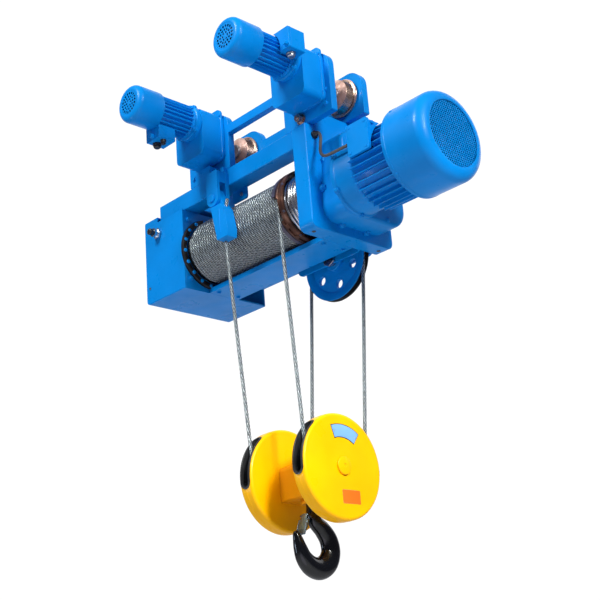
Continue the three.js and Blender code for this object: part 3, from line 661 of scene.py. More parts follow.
def make_falls():
    """Each fall is a straight rope from its upper end down to the block."""
    tops = [ANCHORED_AT, (LEAVE_X, -PITCH_R), (RETURN_AT[0] - SHEAVE_R, RETURN_AT[1]),
            (RETURN_AT[0] + SHEAVE_R, RETURN_AT[1])]
    for number, (top_x, top_y) in enumerate(tops, 1):
        node = f"rope_fall_{number}"
        z0, z1 = span(node)[4:]
        top = Vector((top_x, top_y, z1))
        low = Vector((COVER_X["left" if number % 2 else "right"], -SHEAVE_R if number < 3 else SHEAVE_R, z0))
        fall = piece(f"fall_{number}", "frame", ROPE, [straight_rope(top, low, ROPE_R)], [node], smooth=70)
        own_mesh(fall)


# ---------------------------------------------------------------- frame
def make_frame():
    """The end boxes and beams, with the bolts, plugs and stud along their joints."""
    seam = block(LEFT[0] + 14, LEFT[1] - 6, LEFT[2] - 1.2, LEFT[2] + 1, LEFT[4] + 2, LEFT[4] + 9, 0.8)
    refined("left_end_cover", BLUE, 1.5, [seam], rim=lambda v: v.y < LEFT[2] + 1, rim_bevel=9.0)
    screw_at = (LEFT[0] + 22, LEFT[2], LEFT[4] + 60)
    piece("box_screw", "frame", ZINC, [bolt(screw_at, "y", -1, 5, washer=False)])
    refined("left_bearing_wall", BLUE, 2.0)

    way = span("gearbox_cover")[2:]
    refined("right_end_frame", BLUE, 2.0, rim_bevel=10.0, rim=lambda v: v.x > RIGHT[1] - 1 and not (
        way[0] < v.y < way[1] and way[2] < v.z < way[3]))
    refined("bottom_beam", BLUE, 1.6)
    lug_at = (TOP[0] + 62, (TOP[2] + TOP[3]) / 2, TOP[5] - 0.5)
    refined("top_beam", BLUE, 2.5, [lathe([(0, 0), (13, 0), (13, 8), (10, 11), (0, 11)], "z", lug_at, 32)])
    refined("rear_beam", BLUE, 2.0)
    refined("return_sheave_pin", STEEL, 1.5)

    # Bolts along the joints of the frame.
    feet = [(x, y, BASE[4]) for x in (RIGHT[0] - 24, LEFT[1] + 26) for y in (BASE[2] + 22, BASE[3] - 22)]
    piece("base_bolts", "frame", BLUE, bolts(feet, "z", -1, 7))
    corners = [((RIGHT[0] + RIGHT[1]) / 2, y, BASE[4]) for y in (RIGHT[2] + 34, RIGHT[3] - 40)]
    plugs = [lathe([(0, 0), (7, 0), (6, -1.6), (0, -1.6)], "z", at, 24) for at in corners]
    piece("frame_plugs", "frame", PLASTIC, plugs)

    # The stud that holds the near side frame, with its two nuts.
    x, y, z = 222, SIDE_FACE, -66
    stud = lathe([(0, -26), (7, -26), (8, -24), (8, 0), (0, 0)], "y", (x, y, z), 32)
    nuts = []
    for r, lo, hi in ((15, -12, -3), (14, -21, -13)):
        nuts.append(plate([hexagon(x, z, r)], "y", y + lo, y + hi))
    washer = lathe(band(0, 19, -3, 0), "y", (x, y, z), 40)
    piece("suspension_nuts", "frame", TREAD, [stud, washer, *nuts])

    inner = [(LEFT[1], y, z) for y in (-95, 98) for z in (LEFT[4] + 40, TOP[4] - 36)]
    piece("wall_bolts", "frame", BLUE, bolts(inner, "x", 1, 8))


def make_drum_ring():
    """Bolted ring round the left end of the drum, on the bearing wall, coloured near-black as painted shade.
    """
    profile = [(113.5, 0), (132, 0), (132, 9), (129, 12), (116, 12), (113.5, 10)]
    ring = lathe(profile, "x", (LEFT[1], 0, DRUM_Z), 120, closed=True)
    # Painted shade: the ring is given the near-black sheave casting.
    piece("drum_end_ring", "frame", SHEAVE, [ring])
    piece("drum_ring_bolts", "frame", BLUE, bolts(ring_of(18, 123, LEFT[1] + 12, 4), "x", 1, 5.5))


def make_anchor():
    """Wedge socket pinned between two lugs, with the rope's short dead end beside it."""
    refined("anchor_bracket", BLUE, 4.0)
    refined("wedge_socket", BLUE, 4.0)
    refined("anchor_pin", BLUE, 2.0)
    x0, x1, y0, y1, z0, z1 = span("wedge_socket")
    piece("socket_rib", "frame", BLUE, [block(x0 + 58, x0 + 62, y0 - 1.2, y0 + 2, z0 + 20, z1 - 84, 0.8)])
    tail = straight_rope((x1 - 40, y1 - 14, z0 + 104), (x1 - 20, y1 - 18, z0 + 146), ROPE_R * 0.95)
    piece("rope_dead_end", "frame", ROPE, [tail], smooth=70)
    back = TOP[3] - 14
    bracket = plate([round_rect(-196, -120, TOP[4] - 44, TOP[4] + 4, 10)], "y", back, back + 8, 2)
    piece("limit_bracket", "frame", BLUE, [bracket])
    piece("limit_bolt", "frame", ZINC, bolts([(-146, back, TOP[4] - 22)], "y", -1, 6))


def make_drum():
    """A drum with a near-black layer under its rope, painted shade in the gaps between the turns, and with
    bare grooves beyond it.
    """
    groove_from, groove_to = WOUND_FROM - 4, span("drum")[1] - 55
    bare_from = LEAVE_X - 20
    floor = PITCH_R - ROPE_R
    stations = 110
    rings = []
    groove_parts = [bare_from + (groove_to - bare_from) * k / stations for k in range(stations + 1)]
    for x in [groove_from, *groove_parts]:
        ring = []
        for k in range(96):
            a = TURN * k / 96
            centre = LEAVE_X + WOUND_PITCH * (a - math.pi) / TURN
            off = (x - centre + WOUND_PITCH / 2) % WOUND_PITCH - WOUND_PITCH / 2
            depth = math.sqrt(max((ROPE_R + 0.3) ** 2 - off ** 2, 0.0))
            r = min(PITCH_R - 2.6, PITCH_R - depth) if x > bare_from else floor - 0.3
            ring.append((x, r * math.cos(a), DRUM_Z + r * math.sin(a)))
        rings.append(ring)
    # Painted shade: a near-black layer under the winding, seen between its turns.
    gap_shade = [(floor - 0.2, groove_from + 2), (floor + 0.6, groove_from + 3), (floor + 0.6, bare_from - 1),
              (floor - 0.2, bare_from)]
    piece("drum_gap_shade", "drum", SHEAVE, [lathe(gap_shade, "x", DRUM_AT, 96, True)])
    x0, x1 = span("drum")[:2]
    left = [(0, x0), (24, x0), (25, x0 + 1), (25, -390), (106, -390), (108, -388), (108, -378),
            (103, -376), (0, -376)]
    right = [(0, 170), (104, 170), (107, 172), (107, 181), (105, 183), (25, 183), (25, x1 - 1),
             (24, x1), (0, x1)]
    ends = [lathe(profile, "x", DRUM_AT, 96) for profile in (left, right)]
    piece("drum_shell", "drum", STEEL, [skin(rings), *ends], ["drum"])
    piece("drum_winding", "drum", ROPE, [wound_rope()], ["drum_rope"], smooth=75)


def make_guide():
    """Rope guide: an iron nut ring beside a segmented clamping ring, open where the rope leaves."""
    x0, x1 = span("rope_guide")[:2]
    bore = 117.3
    gap = block(x0 - 4, x0 + 31, -140, -90, DRUM_Z - 70, DRUM_Z + 16, 1)
    nut = [(bore, x0 + 1), (121, x0), (124, x0 + 3), (124, x0 + 17), (bore, x0 + 19)]
    nut = carve(lathe(nut, "x", DRUM_AT, 120, True), gap)
    piece("guide_nut", "rope_guide", GUIDE_RING, [nut], ["rope_guide"])
    outer = [(bore, x0 + 20), (124, x0 + 20), (126, x0 + 23), (126, x0 + 30), (122, x0 + 32), (122, x0 + 40),
             (126, x0 + 42), (126, x1 - 2), (124, x1), (bore, x1)]
    slot = block(x0 + 15, x0 + 31, -140, -90, DRUM_Z - 70, DRUM_Z + 4, 1)
    ribs = []
    for k in range(16):
        if 5 <= k <= 9:
            continue
        turn = Matrix.Translation(DRUM_AT) @ Matrix.Rotation(TURN * k / 16, 4, "X")
        ribs.append(block(x0 + 30, x0 + 44, 120, 127.5, -7, 7, 1.2))
        bmesh.ops.transform(ribs[-1], matrix=turn, verts=ribs[-1].verts)
    lug = block(x0, x1, 92, 104, DRUM_Z + 70, DRUM_Z + 122, 3)
    eye = lathe(band(6.6, 15, x0, x1), "x", (0, *middle("guide_bar")[1:]), 40, True)
    outer = carve(lathe(outer, "x", DRUM_AT, 120, True), slot)
    piece("guide_clamp", "rope_guide", GUIDE, [outer, *ribs, lug, eye])
    piece("guide_bolts", "rope_guide", GUIDE_RING, bolts(ring_of(8, 126, x1 - 4, 22), "x", 1, 4))


# ---------------------------------------------------------------- hoist gearbox and motor
def finned(r_root, r_tip, fins, thick, u, v):
    """Outline of a motor housing: straight fins with rounded tips on a round body."""
    half = [(1.25, r_root), (1.0, r_root + 1.5), (0.85, r_tip - 1), (0.4, r_tip)]
    points = []
    for k in range(fins):
        for side, r in [(-s, r) for s, r in half] + half[::-1]:
            a = TURN * k / fins + side * thick / 2 / r
            points.append((u + r * math.cos(a), v + r * math.sin(a)))
    return points


def make_gearbox():
    """The gearbox casting, bolted to the end frame through ears and closed by the motor's end bell."""
    _, x1, y0, y1, z0, z1 = span("gearbox_cover")
    shaft = Vector((0, DRUM_Z))
    refined("gearbox_cover", BLUE, 1.5, rim_bevel=13.0,
            rim=lambda v: v.x > x1 - 1 and (v.yz - shaft).length > 60)
    face = RIGHT[1]
    ears = [(y0 + 4, z0 + 110), (y0 + 76, z0 + 2), (y0 + 190, z0 + 2), (y1 - 2, z0 + 110), (y1 - 24, z1 - 20),
            (y0 + 130, z1 - 1), (y0 + 22, z0 + 214)]
    lugs = [plate([circle(y, z, 13, 28)], "x", face - 1, face + 12, 2.5) for y, z in ears]
    piece("gearbox_lugs", "frame", BLUE, lugs)
    piece("gearbox_bolts", "frame", BLUE, bolts([(face + 12, y, z) for y, z in ears], "x", 1, 8))
    cover = [(y0 + 34, z0 + 38), (y0 + 104, z0 + 17), (y0 + 206, z0 + 17), (y1 - 22, z0 + 96),
             (y1 - 26, z1 - 60), (y0 + 120, z1 - 19), (y0 + 40, z0 + 210)]
    piece("gearbox_face_bolts", "frame", BLUE, bolts([(x1, y, z) for y, z in cover], "x", 1, 7))


def make_motor():
    """The hoist motor: end bell, finned housing, rear shield, and the fan's shroud and grille."""
    x0, x1 = span("motor_end_bell")[:2]
    bell = lathe([
        (34, x0), (119, x0), (120, x0 + 1), (120, x0 + 10), (118, x0 + 12), (115, x0 + 14), (114, x0 + 18),
        (114, x1 - 6), (112, x1 - 1), (111, x1), (34, x1),
    ], "x", DRUM_AT, 128, True)
    places = ring_of(6, 117, x0 + 11, 30)
    ears = [plate([circle(y, z, 9, 28)], "x", x0 + 1, x0 + 11, 1.5) for _, y, z in places]
    piece("motor_bell", "frame", BLUE, [bell, *ears], ["motor_end_bell"])
    piece("motor_bell_bolts", "frame", BLUE, bolts(places, "x", 1, 6))

    x0, x1 = span("motor_housing")[:2]
    fins = plate([finned(111, 127, 32, 4.2, 0, DRUM_Z), circle(0, DRUM_Z, 90, 48)], "x", x0, x1, 0.6, 1)
    piece("motor_fins", "frame", BLUE, [fins], ["motor_housing"])
    shield = lathe(band(111, 140, x1 - 20, x1 - 14), "x", DRUM_AT, 96, True)

    x0, x1 = span("motor_fan_cover")[:2]
    r = span("motor_fan_cover")[5] - DRUM_Z
    cup = lathe([
        (r - 4.5, x0), (r - 1.5, x0), (r, x0 + 1.5), *arc(r - 36, x1 - 36, 36, 0, 86, 14), (109, x1 - 0.8),
        (107.5, x1 - 2.5), (109, x1 - 5.0), *arc(r - 36, x1 - 36, 31, 86, 0, 10), (r - 5, x0 + 2),
    ], "x", DRUM_AT, 160, True)
    screws = [dome(at, at - Vector((x0 + 14, 0, DRUM_Z)), 5, 3) for at in ring_of(4, r, x0 + 14, 45)]
    bead = [(r - 1, x0 + 9), (r + 0.8, x0 + 10), (r + 0.8, x0 + 13), (r - 1, x0 + 14)]
    bead = lathe(bead, "x", DRUM_AT, 160, True)
    piece("motor_fan_shroud", "frame", BLUE, [cup, bead, *screws], ["motor_fan_cover"], smooth=30)
    piece("motor_grille", "frame", BLUE, [perforated(109, 8.4, 3.1, x1 - 4.2, 1.6)], smooth=30)
    piece("motor_rear_shield", "frame", BLUE, [shield])


def perforated(radius, pitch, hole, x, thick):
    """A round sheet of hexagonal cells with a round hole in each, about the motor's axis."""
    bm = bmesh.new()
    rows = int(radius / (pitch * 0.866)) + 1
    side = pitch / math.sqrt(3)
    for row in range(-rows, rows + 1):
        for col in range(-rows - 1, rows + 2):
            u = (col + (row % 2) / 2) * pitch
            v = row * pitch * math.sqrt(3) / 2
            if math.hypot(u, v) > radius - pitch * 0.1:
                continue
            outer, inner = [], []
            for k, (c, s) in enumerate(polar(12, 1, turn=TURN / 12)):
                reach = side if k % 2 == 0 else side * math.cos(TURN / 12)
                outer.append(bm.verts.new((u + reach * c, v + reach * s, 0)))
                inner.append(bm.verts.new((u + hole * c, v + hole * s, 0)))
            wall(bm, outer, inner)
    bmesh.ops.remove_doubles(bm, verts=bm.verts, dist=0.02)
    outward(bm)
    bmesh.ops.solidify(bm, geom=bm.faces[:], thickness=thick)
    for vert in bm.verts:
        u, v, depth = vert.co
        vert.co = Vector((x + depth, u, DRUM_Z + v))
    return outward(bm)


def make_terminal_box():
    x0, x1, y0, _, z0, z1 = span("motor_terminal_box")
    seam = plate([round_rect(x0 + 1, x1 - 1, z0 + 1, z1 - 1, 7)], "y", y0 + 3.6, y0 + 5.2, 0.4)
    refined("motor_terminal_box", BLUE, 4.0, [seam])
    corners = [(x, y0 + 0.4, z) for x in (x0 + 11, x1 - 11) for z in (z0 + 11, z1 - 11)]
    piece("terminal_screws", "frame", BLUE, bolts(corners, "y", -1, 4.0, False))
    lugs = [(x1 - 3, y0 + 24, z) for z in (z0 + 16, z1 - 14)]
    piece("terminal_lugs", "frame", BLUE, bolts(lugs, "x", 1, 6))


def make_lead():
    """The motor's lead, from the gland on the end frame to the gland on the terminal box."""
    x, y, z = RIGHT[1], -81, -127
    gx, gy, gz = span("motor_terminal_box")[0] + 3, -119, DRUM_Z + 60
    route = smooth_route([
        (x - 2, y, z), (x + 20, y, z), (x + 34, y - 5, z - 22), (x + 40, y - 15, z - 56),
        (x + 50, y - 28, z - 88), (x + 74, gy - 2, gz + 6), (x + 106, gy - 2, gz), (gx - 30, gy, gz),
        (gx + 1, gy, gz),
    ])
    piece("motor_lead_sheath", "frame", LEAD, [pipe(route, 5, 20)], ["motor_lead"], smooth=60)
    gland = [(0, -2), (13, -2), (13, 3), (10.5, 3.5), (10.5, 10), (9, 14), (6.5, 20), (5.3, 22), (0, 22)]
    small = [(r * 0.72, -w) for r, w in gland]
    glands = [lathe(gland, "x", (x, y, z), 36), lathe(small, "x", (gx, gy, gz), 36)]
    nuts = [plate([hexagon(y, z, 14)], "x", x + 2, x + 9, 0.8),
            plate([hexagon(gy, gz, 10.5)], "x", gx - 7, gx - 2, 0.8)]
    piece("lead_glands", "frame", PLASTIC, [*glands, *nuts])


def make_plug():
    """The plug of the control cable, on the front of the left end box."""
    x, _, z = middle("control_plug")
    y = span("control_plug")[3]
    nut = plate([hexagon(x, z, 21)], "y", y - 9, y, 1.2)
    barrel = [(0, -8), (16, -8), (16, -12), (14.5, -13), (14.5, -20), (16, -21), (16, -24), (0, -24)]
    piece("plug_barrel", "frame", STEEL, [nut, lathe(barrel, "y", (x, y, z), 48)])
    knob = [(0, -23), (12, -23), (13, -26), *arc(6, -37, 6.5, 20, -90, 7), (0, -43.5)]
    piece("plug_knob", "frame", PLASTIC, [lathe(knob, "y", (x, y, z), 48)], ["control_plug"])


# ---------------------------------------------------------------- sheaves
def groove():
    """Profile points of a sheave's groove, round the rope."""
    r = ROPE_R + 0.4
    angles = [math.radians(a) for a in range(-70, 71, 14)]
    return [(SHEAVE_R - r * math.cos(a), r * math.sin(a)) for a in angles]


def sheave_profile(bore, web_r, rim_r):
    """Half a groove round the rope, a web and a hub."""
    half = [(bore, -20), (34, -20), (36, -18), (36, -8), (web_r, -7), (rim_r, -12.5), (rim_r + 1.5, -11)]
    return mirrored(half, groove())


def make_return_sheave():
    """Cast sheave with six lightening holes; its groove is lined near-black as painted shade."""
    x, y, z = RETURN_AT
    seat = groove()
    rim = mirrored([(108, -7), (114, -12), (138, -13), (139, -11)], seat)
    piece("return_sheave_rim", "return_sheave", BLUE, [lathe(rim, "y", RETURN_AT, 128, True)])
    # Painted shade: the groove and its edges are lined near-black.
    lining = [(r - 0.1, w) for r, w in seat] + [(r + 0.5, w * 0.94) for r, w in reversed(seat)]
    cheek = [(139.2, 11.2), (139.6, 10.6), (125.5, 5.6), (125, 6.3)]
    groove_parts = [lining, [(r, -w) for r, w in cheek], cheek]
    groove_parts = [lathe(profile, "y", RETURN_AT, 128, True) for profile in groove_parts]
    piece("return_sheave_groove_shade", "return_sheave", SHEAVE, groove_parts)
    places = polar(6, 86, x, z, 0.64)
    holes = [circle(u, v, 16, 32) for u, v in places]
    web = plate([circle(x, z, 110, 96), circle(x, z, 21, 32), *holes], "y", y - 7, y + 7, 1.5)
    lip = [(15.5, -8), (19, -8), (20, -6), (15.5, -6)]
    lips = [lathe(lip, "y", (u, y, v), 32, True) for u, v in places]
    hub = lathe(mirrored([(20.5, -20), (34, -20), (36, -18)]), "y", RETURN_AT, 64, True)
    piece("return_sheave_web", "return_sheave", BLUE, [web, hub, *lips], ["return_sheave"])


# ---------------------------------------------------------------- hook block
COVER_R = 165
COVER_HALF = 28
EDGE = 11  # rounding of the covers' rims
SLOTS = ((126, 190), (-10, 54))  # where the rope slots start and stop on a rim, in degrees
BLOCK_BORE = 22.3


def cover_surface(x):
    """Radius of a cover's rim at a distance from its middle plane."""
    past = abs(x) - (COVER_HALF - EDGE)
    if past <= 0:
        return COVER_R
    return COVER_R - EDGE + math.sqrt(max(EDGE ** 2 - past ** 2, 0.0))


def on_rim(points, centre, lift):
    """Maps (angle in degrees, x) points onto a cover's rim, raised by lift."""
    mapped = []
    for angle, x in points:
        a = math.radians(angle)
        r = cover_surface(x) + lift
        mapped.append(Vector((centre[0] + x, centre[1] + r * math.cos(a), centre[2] + r * math.sin(a))))
    return mapped


def stadium(start, stop, half, steps=12, runs=14):
    """A long slot with round ends, as (angle, x) points. half is in millimetres on the rim."""
    ends = math.degrees(half / COVER_R)
    straight = stop - start - 2 * ends
    points = [(start + ends + straight * k / runs, -half) for k in range(runs)]
    for k in range(steps):
        a = math.pi * k / steps
        points.append((stop - ends + ends * math.sin(a), -half * math.cos(a)))
    return points + [(start + stop - angle, -x) for angle, x in points]


def slot_cutter(points, centre):
    """A closed body that cuts a slot through a cover's rim."""
    bm = bmesh.new()
    low, high = [[bm.verts.new(p) for p in on_rim(points, centre, lift)] for lift in (-30, 70)]
    wall(bm, low, high)
    for ring in (low, high):
        mid = bm.verts.new(sum((v.co for v in ring), Vector()) / len(ring))
        for here, after in zip(ring, ring[1:] + ring[:1]):
            bm.faces.new((here, after, mid))
    return outward(bm)


def make_cover(side):
    """Half of the block's housing with its rope slots, their rubber trims, and the sheave inside it."""
    at = (COVER_X[side], 0, BLOCK_Z)
    h, e, bore = COVER_HALF, EDGE, BLOCK_BORE
    shell = [
        (bore, -h), (150, -h), *arc(COVER_R - e, -h + e, e, -90, 0, 8), *arc(COVER_R - e, h - e, e, 0, 90, 8),
        (bore, h), (bore, h - 4), *arc(COVER_R - e, h - e, e - 4, 90, 0, 4),
        *arc(COVER_R - e, -h + e, e - 4, 0, -90, 4), (bore, -h + 4),
    ]
    seam = mirrored([(COVER_R - 0.3, -0.8), (COVER_R + 0.5, -0.5)])
    cut = []
    for profile, half in ((shell, 17), (seam, 20)):
        cutters = [slot_cutter(stadium(start, stop, half), at) for start, stop in SLOTS]
        cut.append(carve(lathe(profile, "x", at, 144, True), *cutters))
    piece(f"cover_{side}", "hook_block", YELLOW, cut, [f"block_cover_{side}"], smooth=30)
    trims = []
    for start, stop in SLOTS:
        liner = stadium(start + 0.9, stop - 0.9, 14.5)
        inner = stadium(start, stop, 17)
        outer = stadium(start - 1.8, stop + 1.8, 22.5)
        levels = ((liner, -38), (liner, 1.0), (inner, 2.2), (outer, 1.4), (outer, -0.6), (inner, -38))
        trims.append(skin([on_rim(points, at, lift) for points, lift in levels], capped=False))
    piece(f"slot_trim_{side}", "hook_block", RUBBER, trims, smooth=50)
    sheave = lathe(sheave_profile(bore, 106, 137), "x", at, 128, True)
    piece(f"sheave_{side}", f"block_sheave_{side}", SHEAVE, [sheave], [f"block_sheave_{side}"])


def make_block():
    """The two covers on their axle, with a blank capacity plate and a blank label."""
    make_cover("right")
    make_cover("left")
    x0, x1 = span("block_axle")[:2]
    cap = [(0, -60), (22, -60), (22, -6.8), (27, -6.6), (28, -5.4), (28, -2), *arc(26, -2, 2, 0, 80, 3),
           (6, 0.6), (4.5, -1.5), (0, -1.5)]
    ends = [lathe([(r, w * way) for r, w in cap], "x", (x, 0, BLOCK_Z), 64) for x, way in ((x1, 1), (x0, -1))]
    shaft = lathe(band(0, 22, x0 + 50, x1 - 50), "x", (0, 0, BLOCK_Z), 48)
    piece("axle_ends", "hook_block", YELLOW, [*ends, shaft], ["block_axle"])

    face = COVER_X["right"] + COVER_HALF
    sector = arc(0, BLOCK_Z, 128, 54, 108, 30) + arc(0, BLOCK_Z, 90, 108, 54, 30)
    piece("capacity_plate", "hook_block", PLATE, [plate([sector], "x", face - 0.5, face + 1.2, 0.4)])
    rim = arc(0, BLOCK_Z, 130.5, 53, 109, 30) + arc(0, BLOCK_Z, 87.5, 109, 53, 30)
    piece("capacity_plate_rim", "hook_block", PLASTIC, [plate([rim], "x", face - 0.8, face + 0.6, 0.3)])
    rivets = [dome((face + 1.0, y, z), (1, 0, 0), 2.6, 1.4) for y, z in arc(0, BLOCK_Z, 110, 57, 105, 1)]
    piece("plate_rivets", "hook_block", ZINC, rivets)
    sticker = round_rect(-14, 62, BLOCK_Z - 114, BLOCK_Z - 72, 4, 5)
    piece("blank_label", "hook_block", LABEL, [plate([sticker], "x", face - 0.3, face + 0.5, 0.2)])


def make_crosshead():
    # The crosshead takes the darker copy of the yellow enamel, as painted shade.
    refined("crosshead", SHADED_YELLOW, 4.0, body="crosshead")
    refined("hook_thrust_bearing", STEEL, 0.8, body="crosshead")
    refined("hook_nut", ZINC, 1.5, body="hook")


PIN_AT = (-32, BLOCK_Z - 126)  # y and z of the latch's pin


def make_hook():
    """A forged hook: a rounded wedge section that swells at the back of the bowl and tapers to the tip."""
    stations = [  # y and z from the block's axle, half the depth and half the width
        (0, -88, 20, 20), (0, -104, 20, 20), (0, -122, 21.5, 21), (8, -146, 24, 22), (34, -168, 28, 24),
        (56, -198, 31, 26), (61, -236, 33, 27), (43, -269, 35, 28), (10, -285, 35, 28), (-24, -278, 32, 27),
        (-50, -255, 27, 24), (-63, -226, 22, 20), (-71, -200, 16, 15.5), (-77, -184, 11, 11),
        (-80, -176, 6, 6),
    ]
    centres = smooth_route([(0, y, z) for y, z, _, _ in stations])
    sizes = smooth_route([(0, d, w) for _, _, d, w in stations])
    rings = []
    for i, (c, s) in enumerate(zip(centres, sizes)):
        t = heading(centres, i)
        inward = Vector((0, -t.z, t.y))
        bowl = min(1.0, max(0.0, (i - 20) / 24)) * min(1.0, (len(centres) - i) / 20)
        ring = []
        for u, v in polar(32, 1):
            wedge = 1 + 0.16 * bowl * u
            ring.append(Vector((HOOK_X + s.z * v * wedge, c.y, BLOCK_Z + c.z)) + s.y * u * inward)
        rings.append(ring)
    shank = lathe([(0, -95), (20, -95), (20, -62), (19, -60), (19, -44), (17.5, -40), (0, -40)], "z",
                  (HOOK_X, 0, BLOCK_Z), 48)
    y, z = PIN_AT
    lug = [*arc(y, z, 6.5, 180, 360, 8), (y + 24, z + 8), (y + 24, z - 12), (y + 12, z - 12)]
    lugs = [plate([lug], "x", HOOK_X + a, HOOK_X + b, 1) for a, b in ((-19.5, -14), (14, 19.5))]
    pin = lathe(band(0, 3, -21, 21), "x", (HOOK_X, y, z), 24)
    piece("forged_hook", "hook", BLACK, [skin(rings), shank, *lugs, pin], ["hook"], smooth=50)


def make_latch():
    """A pressed steel latch with turned-down sides and a coil spring on its pin."""
    leaf = [(-36, -122), (-42, -134), (-55, -170), (-61, -187)]
    lower = [(-44, -139), (-55, -170), (-61, -187)]
    wing = [(-44, -140), (-36, -141), (-44, -160), (-55, -180), (-61, -184), (-56, -170)]
    cuts = [(line + [(y + 3, h - 0.8) for y, h in reversed(line)], -half, half, 0.6)
            for line, half in ((leaf, 12), (lower, 20))]
    cuts += [(wing, a, b, 0.5) for a, b in ((-20.5, -18), (18, 20.5))]
    sheets = [plate([[(y, BLOCK_Z + h) for y, h in outline]], "x", HOOK_X + a, HOOK_X + b, bevel)
              for outline, a, b, bevel in cuts]
    turns = polar(20, 4.6, *PIN_AT) * 6
    coil = [(HOOK_X - 7 + 14 * k / (len(turns) - 1), y, z) for k, (y, z) in enumerate(turns)]
    piece("latch_plate", "hook_latch", LATCH, [*sheets, pipe(coil, 0.9, 8)], ["hook_latch"])


# ---------------------------------------------------------------- trolley
AXLE_Z = 55


def make_wheel(number, near):
    """A cast wheel with a flange and a worn tread. The near ones have a shaft, the far ones a bore."""
    name = f"{'near' if near else 'far'}_wheel_{number}"
    side = -1 if near else 1
    at = (middle(name)[0], 0, AXLE_Z)
    bore = 0 if near else 18.3
    cast = [(bore, 28), (38, 28), (40, 29.5), (52, 33.2), (54.5, 34.5), (54.5, 63.5), (60, 65.2),
            (66.8, 66.5), (67, 68), (66, 73), (64, 74.2), (30, 74.8), (26, 77.5)]
    cast += [(20, 77.5), (20, 160), (0, 160)] if near else [(bore, 77.5)]
    wheel = lathe([(r, w * side) for r, w in cast], "y", at, 96, closed=not near)
    piece(f"{name}_casting", name, WHEEL, [wheel], [name])
    worn = [(50, 33.5), (54.2, 34.4), (55.2, 36), (55.2, 62), (56.5, 64), (62, 65.4), (66.2, 66.6),
            (67.3, 68.4), (66.8, 71), (60, 70)]
    tread = lathe([(r, w * side) for r, w in worn], "y", at, 96, closed=True)
    piece(f"{name}_tread", name, TREAD, [tread])


def make_side_frames():
    refined("near_side_frame", BLUE, 3.0)
    refined("far_side_frame", BLUE, 3.0)
    for number in (1, 2):
        refined(f"far_axle_{number}", ZINC, 1.2)
    x0, x1, y0, _, z0, _ = span("near_side_frame")
    out = [(x, y0, z) for x in (x0 + 24, x1 - 24) for z in (z0 + 30, z0 + 80)]
    piece("side_frame_bolts", "frame", BLUE, bolts(out, "y", -1, 8))


def make_travel_drive(number):
    """A travel gearbox with its finned motor, and the shroud and grille of the motor's fan."""
    box, motor, fan_cover = [f"travel_{part}_{number}" for part in ("gearbox", "motor", "fan_cover")]
    x0, x1, _, y1, z0, z1 = span(box)
    mx, _, mz = middle(fan_cover)
    at = (mx, 0, mz)
    refined(box, BLUE, 5.0)
    joint = plate([round_rect(x0 - 2, x1 + 2, z0 - 2, z1 + 2, 22, 8)], "y", y1 - 14, y1 - 4, 2)
    piece(f"travel_case_rim_{number}", "frame", BLUE, [joint])
    corners = [(x, y1 - 14, z) for x in (x0 + 4, x1 - 4) for z in (z0 + 26, z1 - 26)]
    piece(f"travel_case_bolts_{number}", "frame", BLUE, bolts(corners, "y", -1, 6))

    m0, m1 = span(motor)[2:4]
    flange = [(17, m1), (62, m1), (64, m1 - 2), (64, m1 - 9), (61, m1 - 12), (56, m1 - 13), (54, m1 - 24),
              (17, m1 - 24)]
    flange = lathe(flange, "y", at, 96, True)
    places = polar(4, 58, mx, mz, TURN / 8)
    ears = [plate([circle(u, v, 11, 28)], "y", m1 - 12, m1 - 1, 1.5) for u, v in places]
    fins = plate([finned(51, 60, 26, 2.8, mx, mz), circle(mx, mz, 42, 40)], "y", m0, m1 - 22, 0.5, 1)
    piece(f"travel_fins_{number}", "frame", BLUE, [flange, *ears, fins], [motor])
    ends = [(u, m1 - 12, v) for u, v in places]
    piece(f"travel_flange_bolts_{number}", "frame", BLUE, bolts(ends, "y", -1, 6))

    c0, c1 = span(fan_cover)[2:4]
    shell = lathe([
        (63.5, c1), (65.5, c1), (66, c1 - 1), *arc(46, c0 + 20, 20, 0, -84, 10), (44, c0 + 0.6),
        (42.5, c0 + 2.5), (44, c0 + 4), *arc(46, c0 + 20, 17.5, -84, 0, 7), (63.5, c1 - 2),
    ], "y", at, 128, True)
    piece(f"travel_shroud_{number}", "frame", BLUE, [shell], [fan_cover], smooth=30)
    holes = []
    for inner, outer, count, share in ((9, 15, 6, 0.55), (19, 26, 12, 0.55), (30, 38, 18, 0.58)):
        for k in range(count):
            mid, half = 360 * k / count, 180 * share / count
            far = arc(mx, mz, outer, mid - half, mid + half, 4)
            holes.append(far + arc(mx, mz, inner, mid + half, mid - half, 4))
    grille = plate([circle(mx, mz, 44.5, 64), *holes], "y", c0 + 1.4, c0 + 3.6, 0.4, 1)
    piece(f"travel_grille_{number}", "frame", BLUE, [grille], smooth=30)
    backing = lathe(band(0, 43, c0 + 12, c0 + 14), "y", at, 64)
    piece(f"travel_fan_{number}", f"travel_rotor_{number}", SHEAVE, [backing])


def make_travel_terminal(number):
    """A terminal box with its cable glands, plastic under the first box and metal under the other."""
    name = f"travel_terminal_box_{number}"
    x0, x1, y0, y1, z0, z1 = span(name)
    x, y = (x0 + x1) / 2, (y0 + y1) / 2
    if number == 1:
        refined(name, BLUE, 2.5)
        look, glands = PLASTIC, [(x - 14, y, z0, 15), (x + 20, y, z0, 10)]
    else:
        lid = plate([round_rect(x0 - 1, x1 + 1, z0 - 1, z1 + 1, 5)], "y", y0 + 20, y0 + 23, 0.8)
        refined(name, BLUE, 2.5, [lid])
        look, glands = ZINC, [(x + 4, y + 6, z0 + 2, 16)]
    parts = []
    for *place, r in glands:
        steps = [(0, 2), (r, 2), (r, -7), (r * 0.82, -8), (r * 0.82, -14), (r * 0.6, -17), (0, -17)]
        parts.append(lathe(steps, "z", place, 40))
    piece(f"travel_gland_{number}", "frame", look, parts)


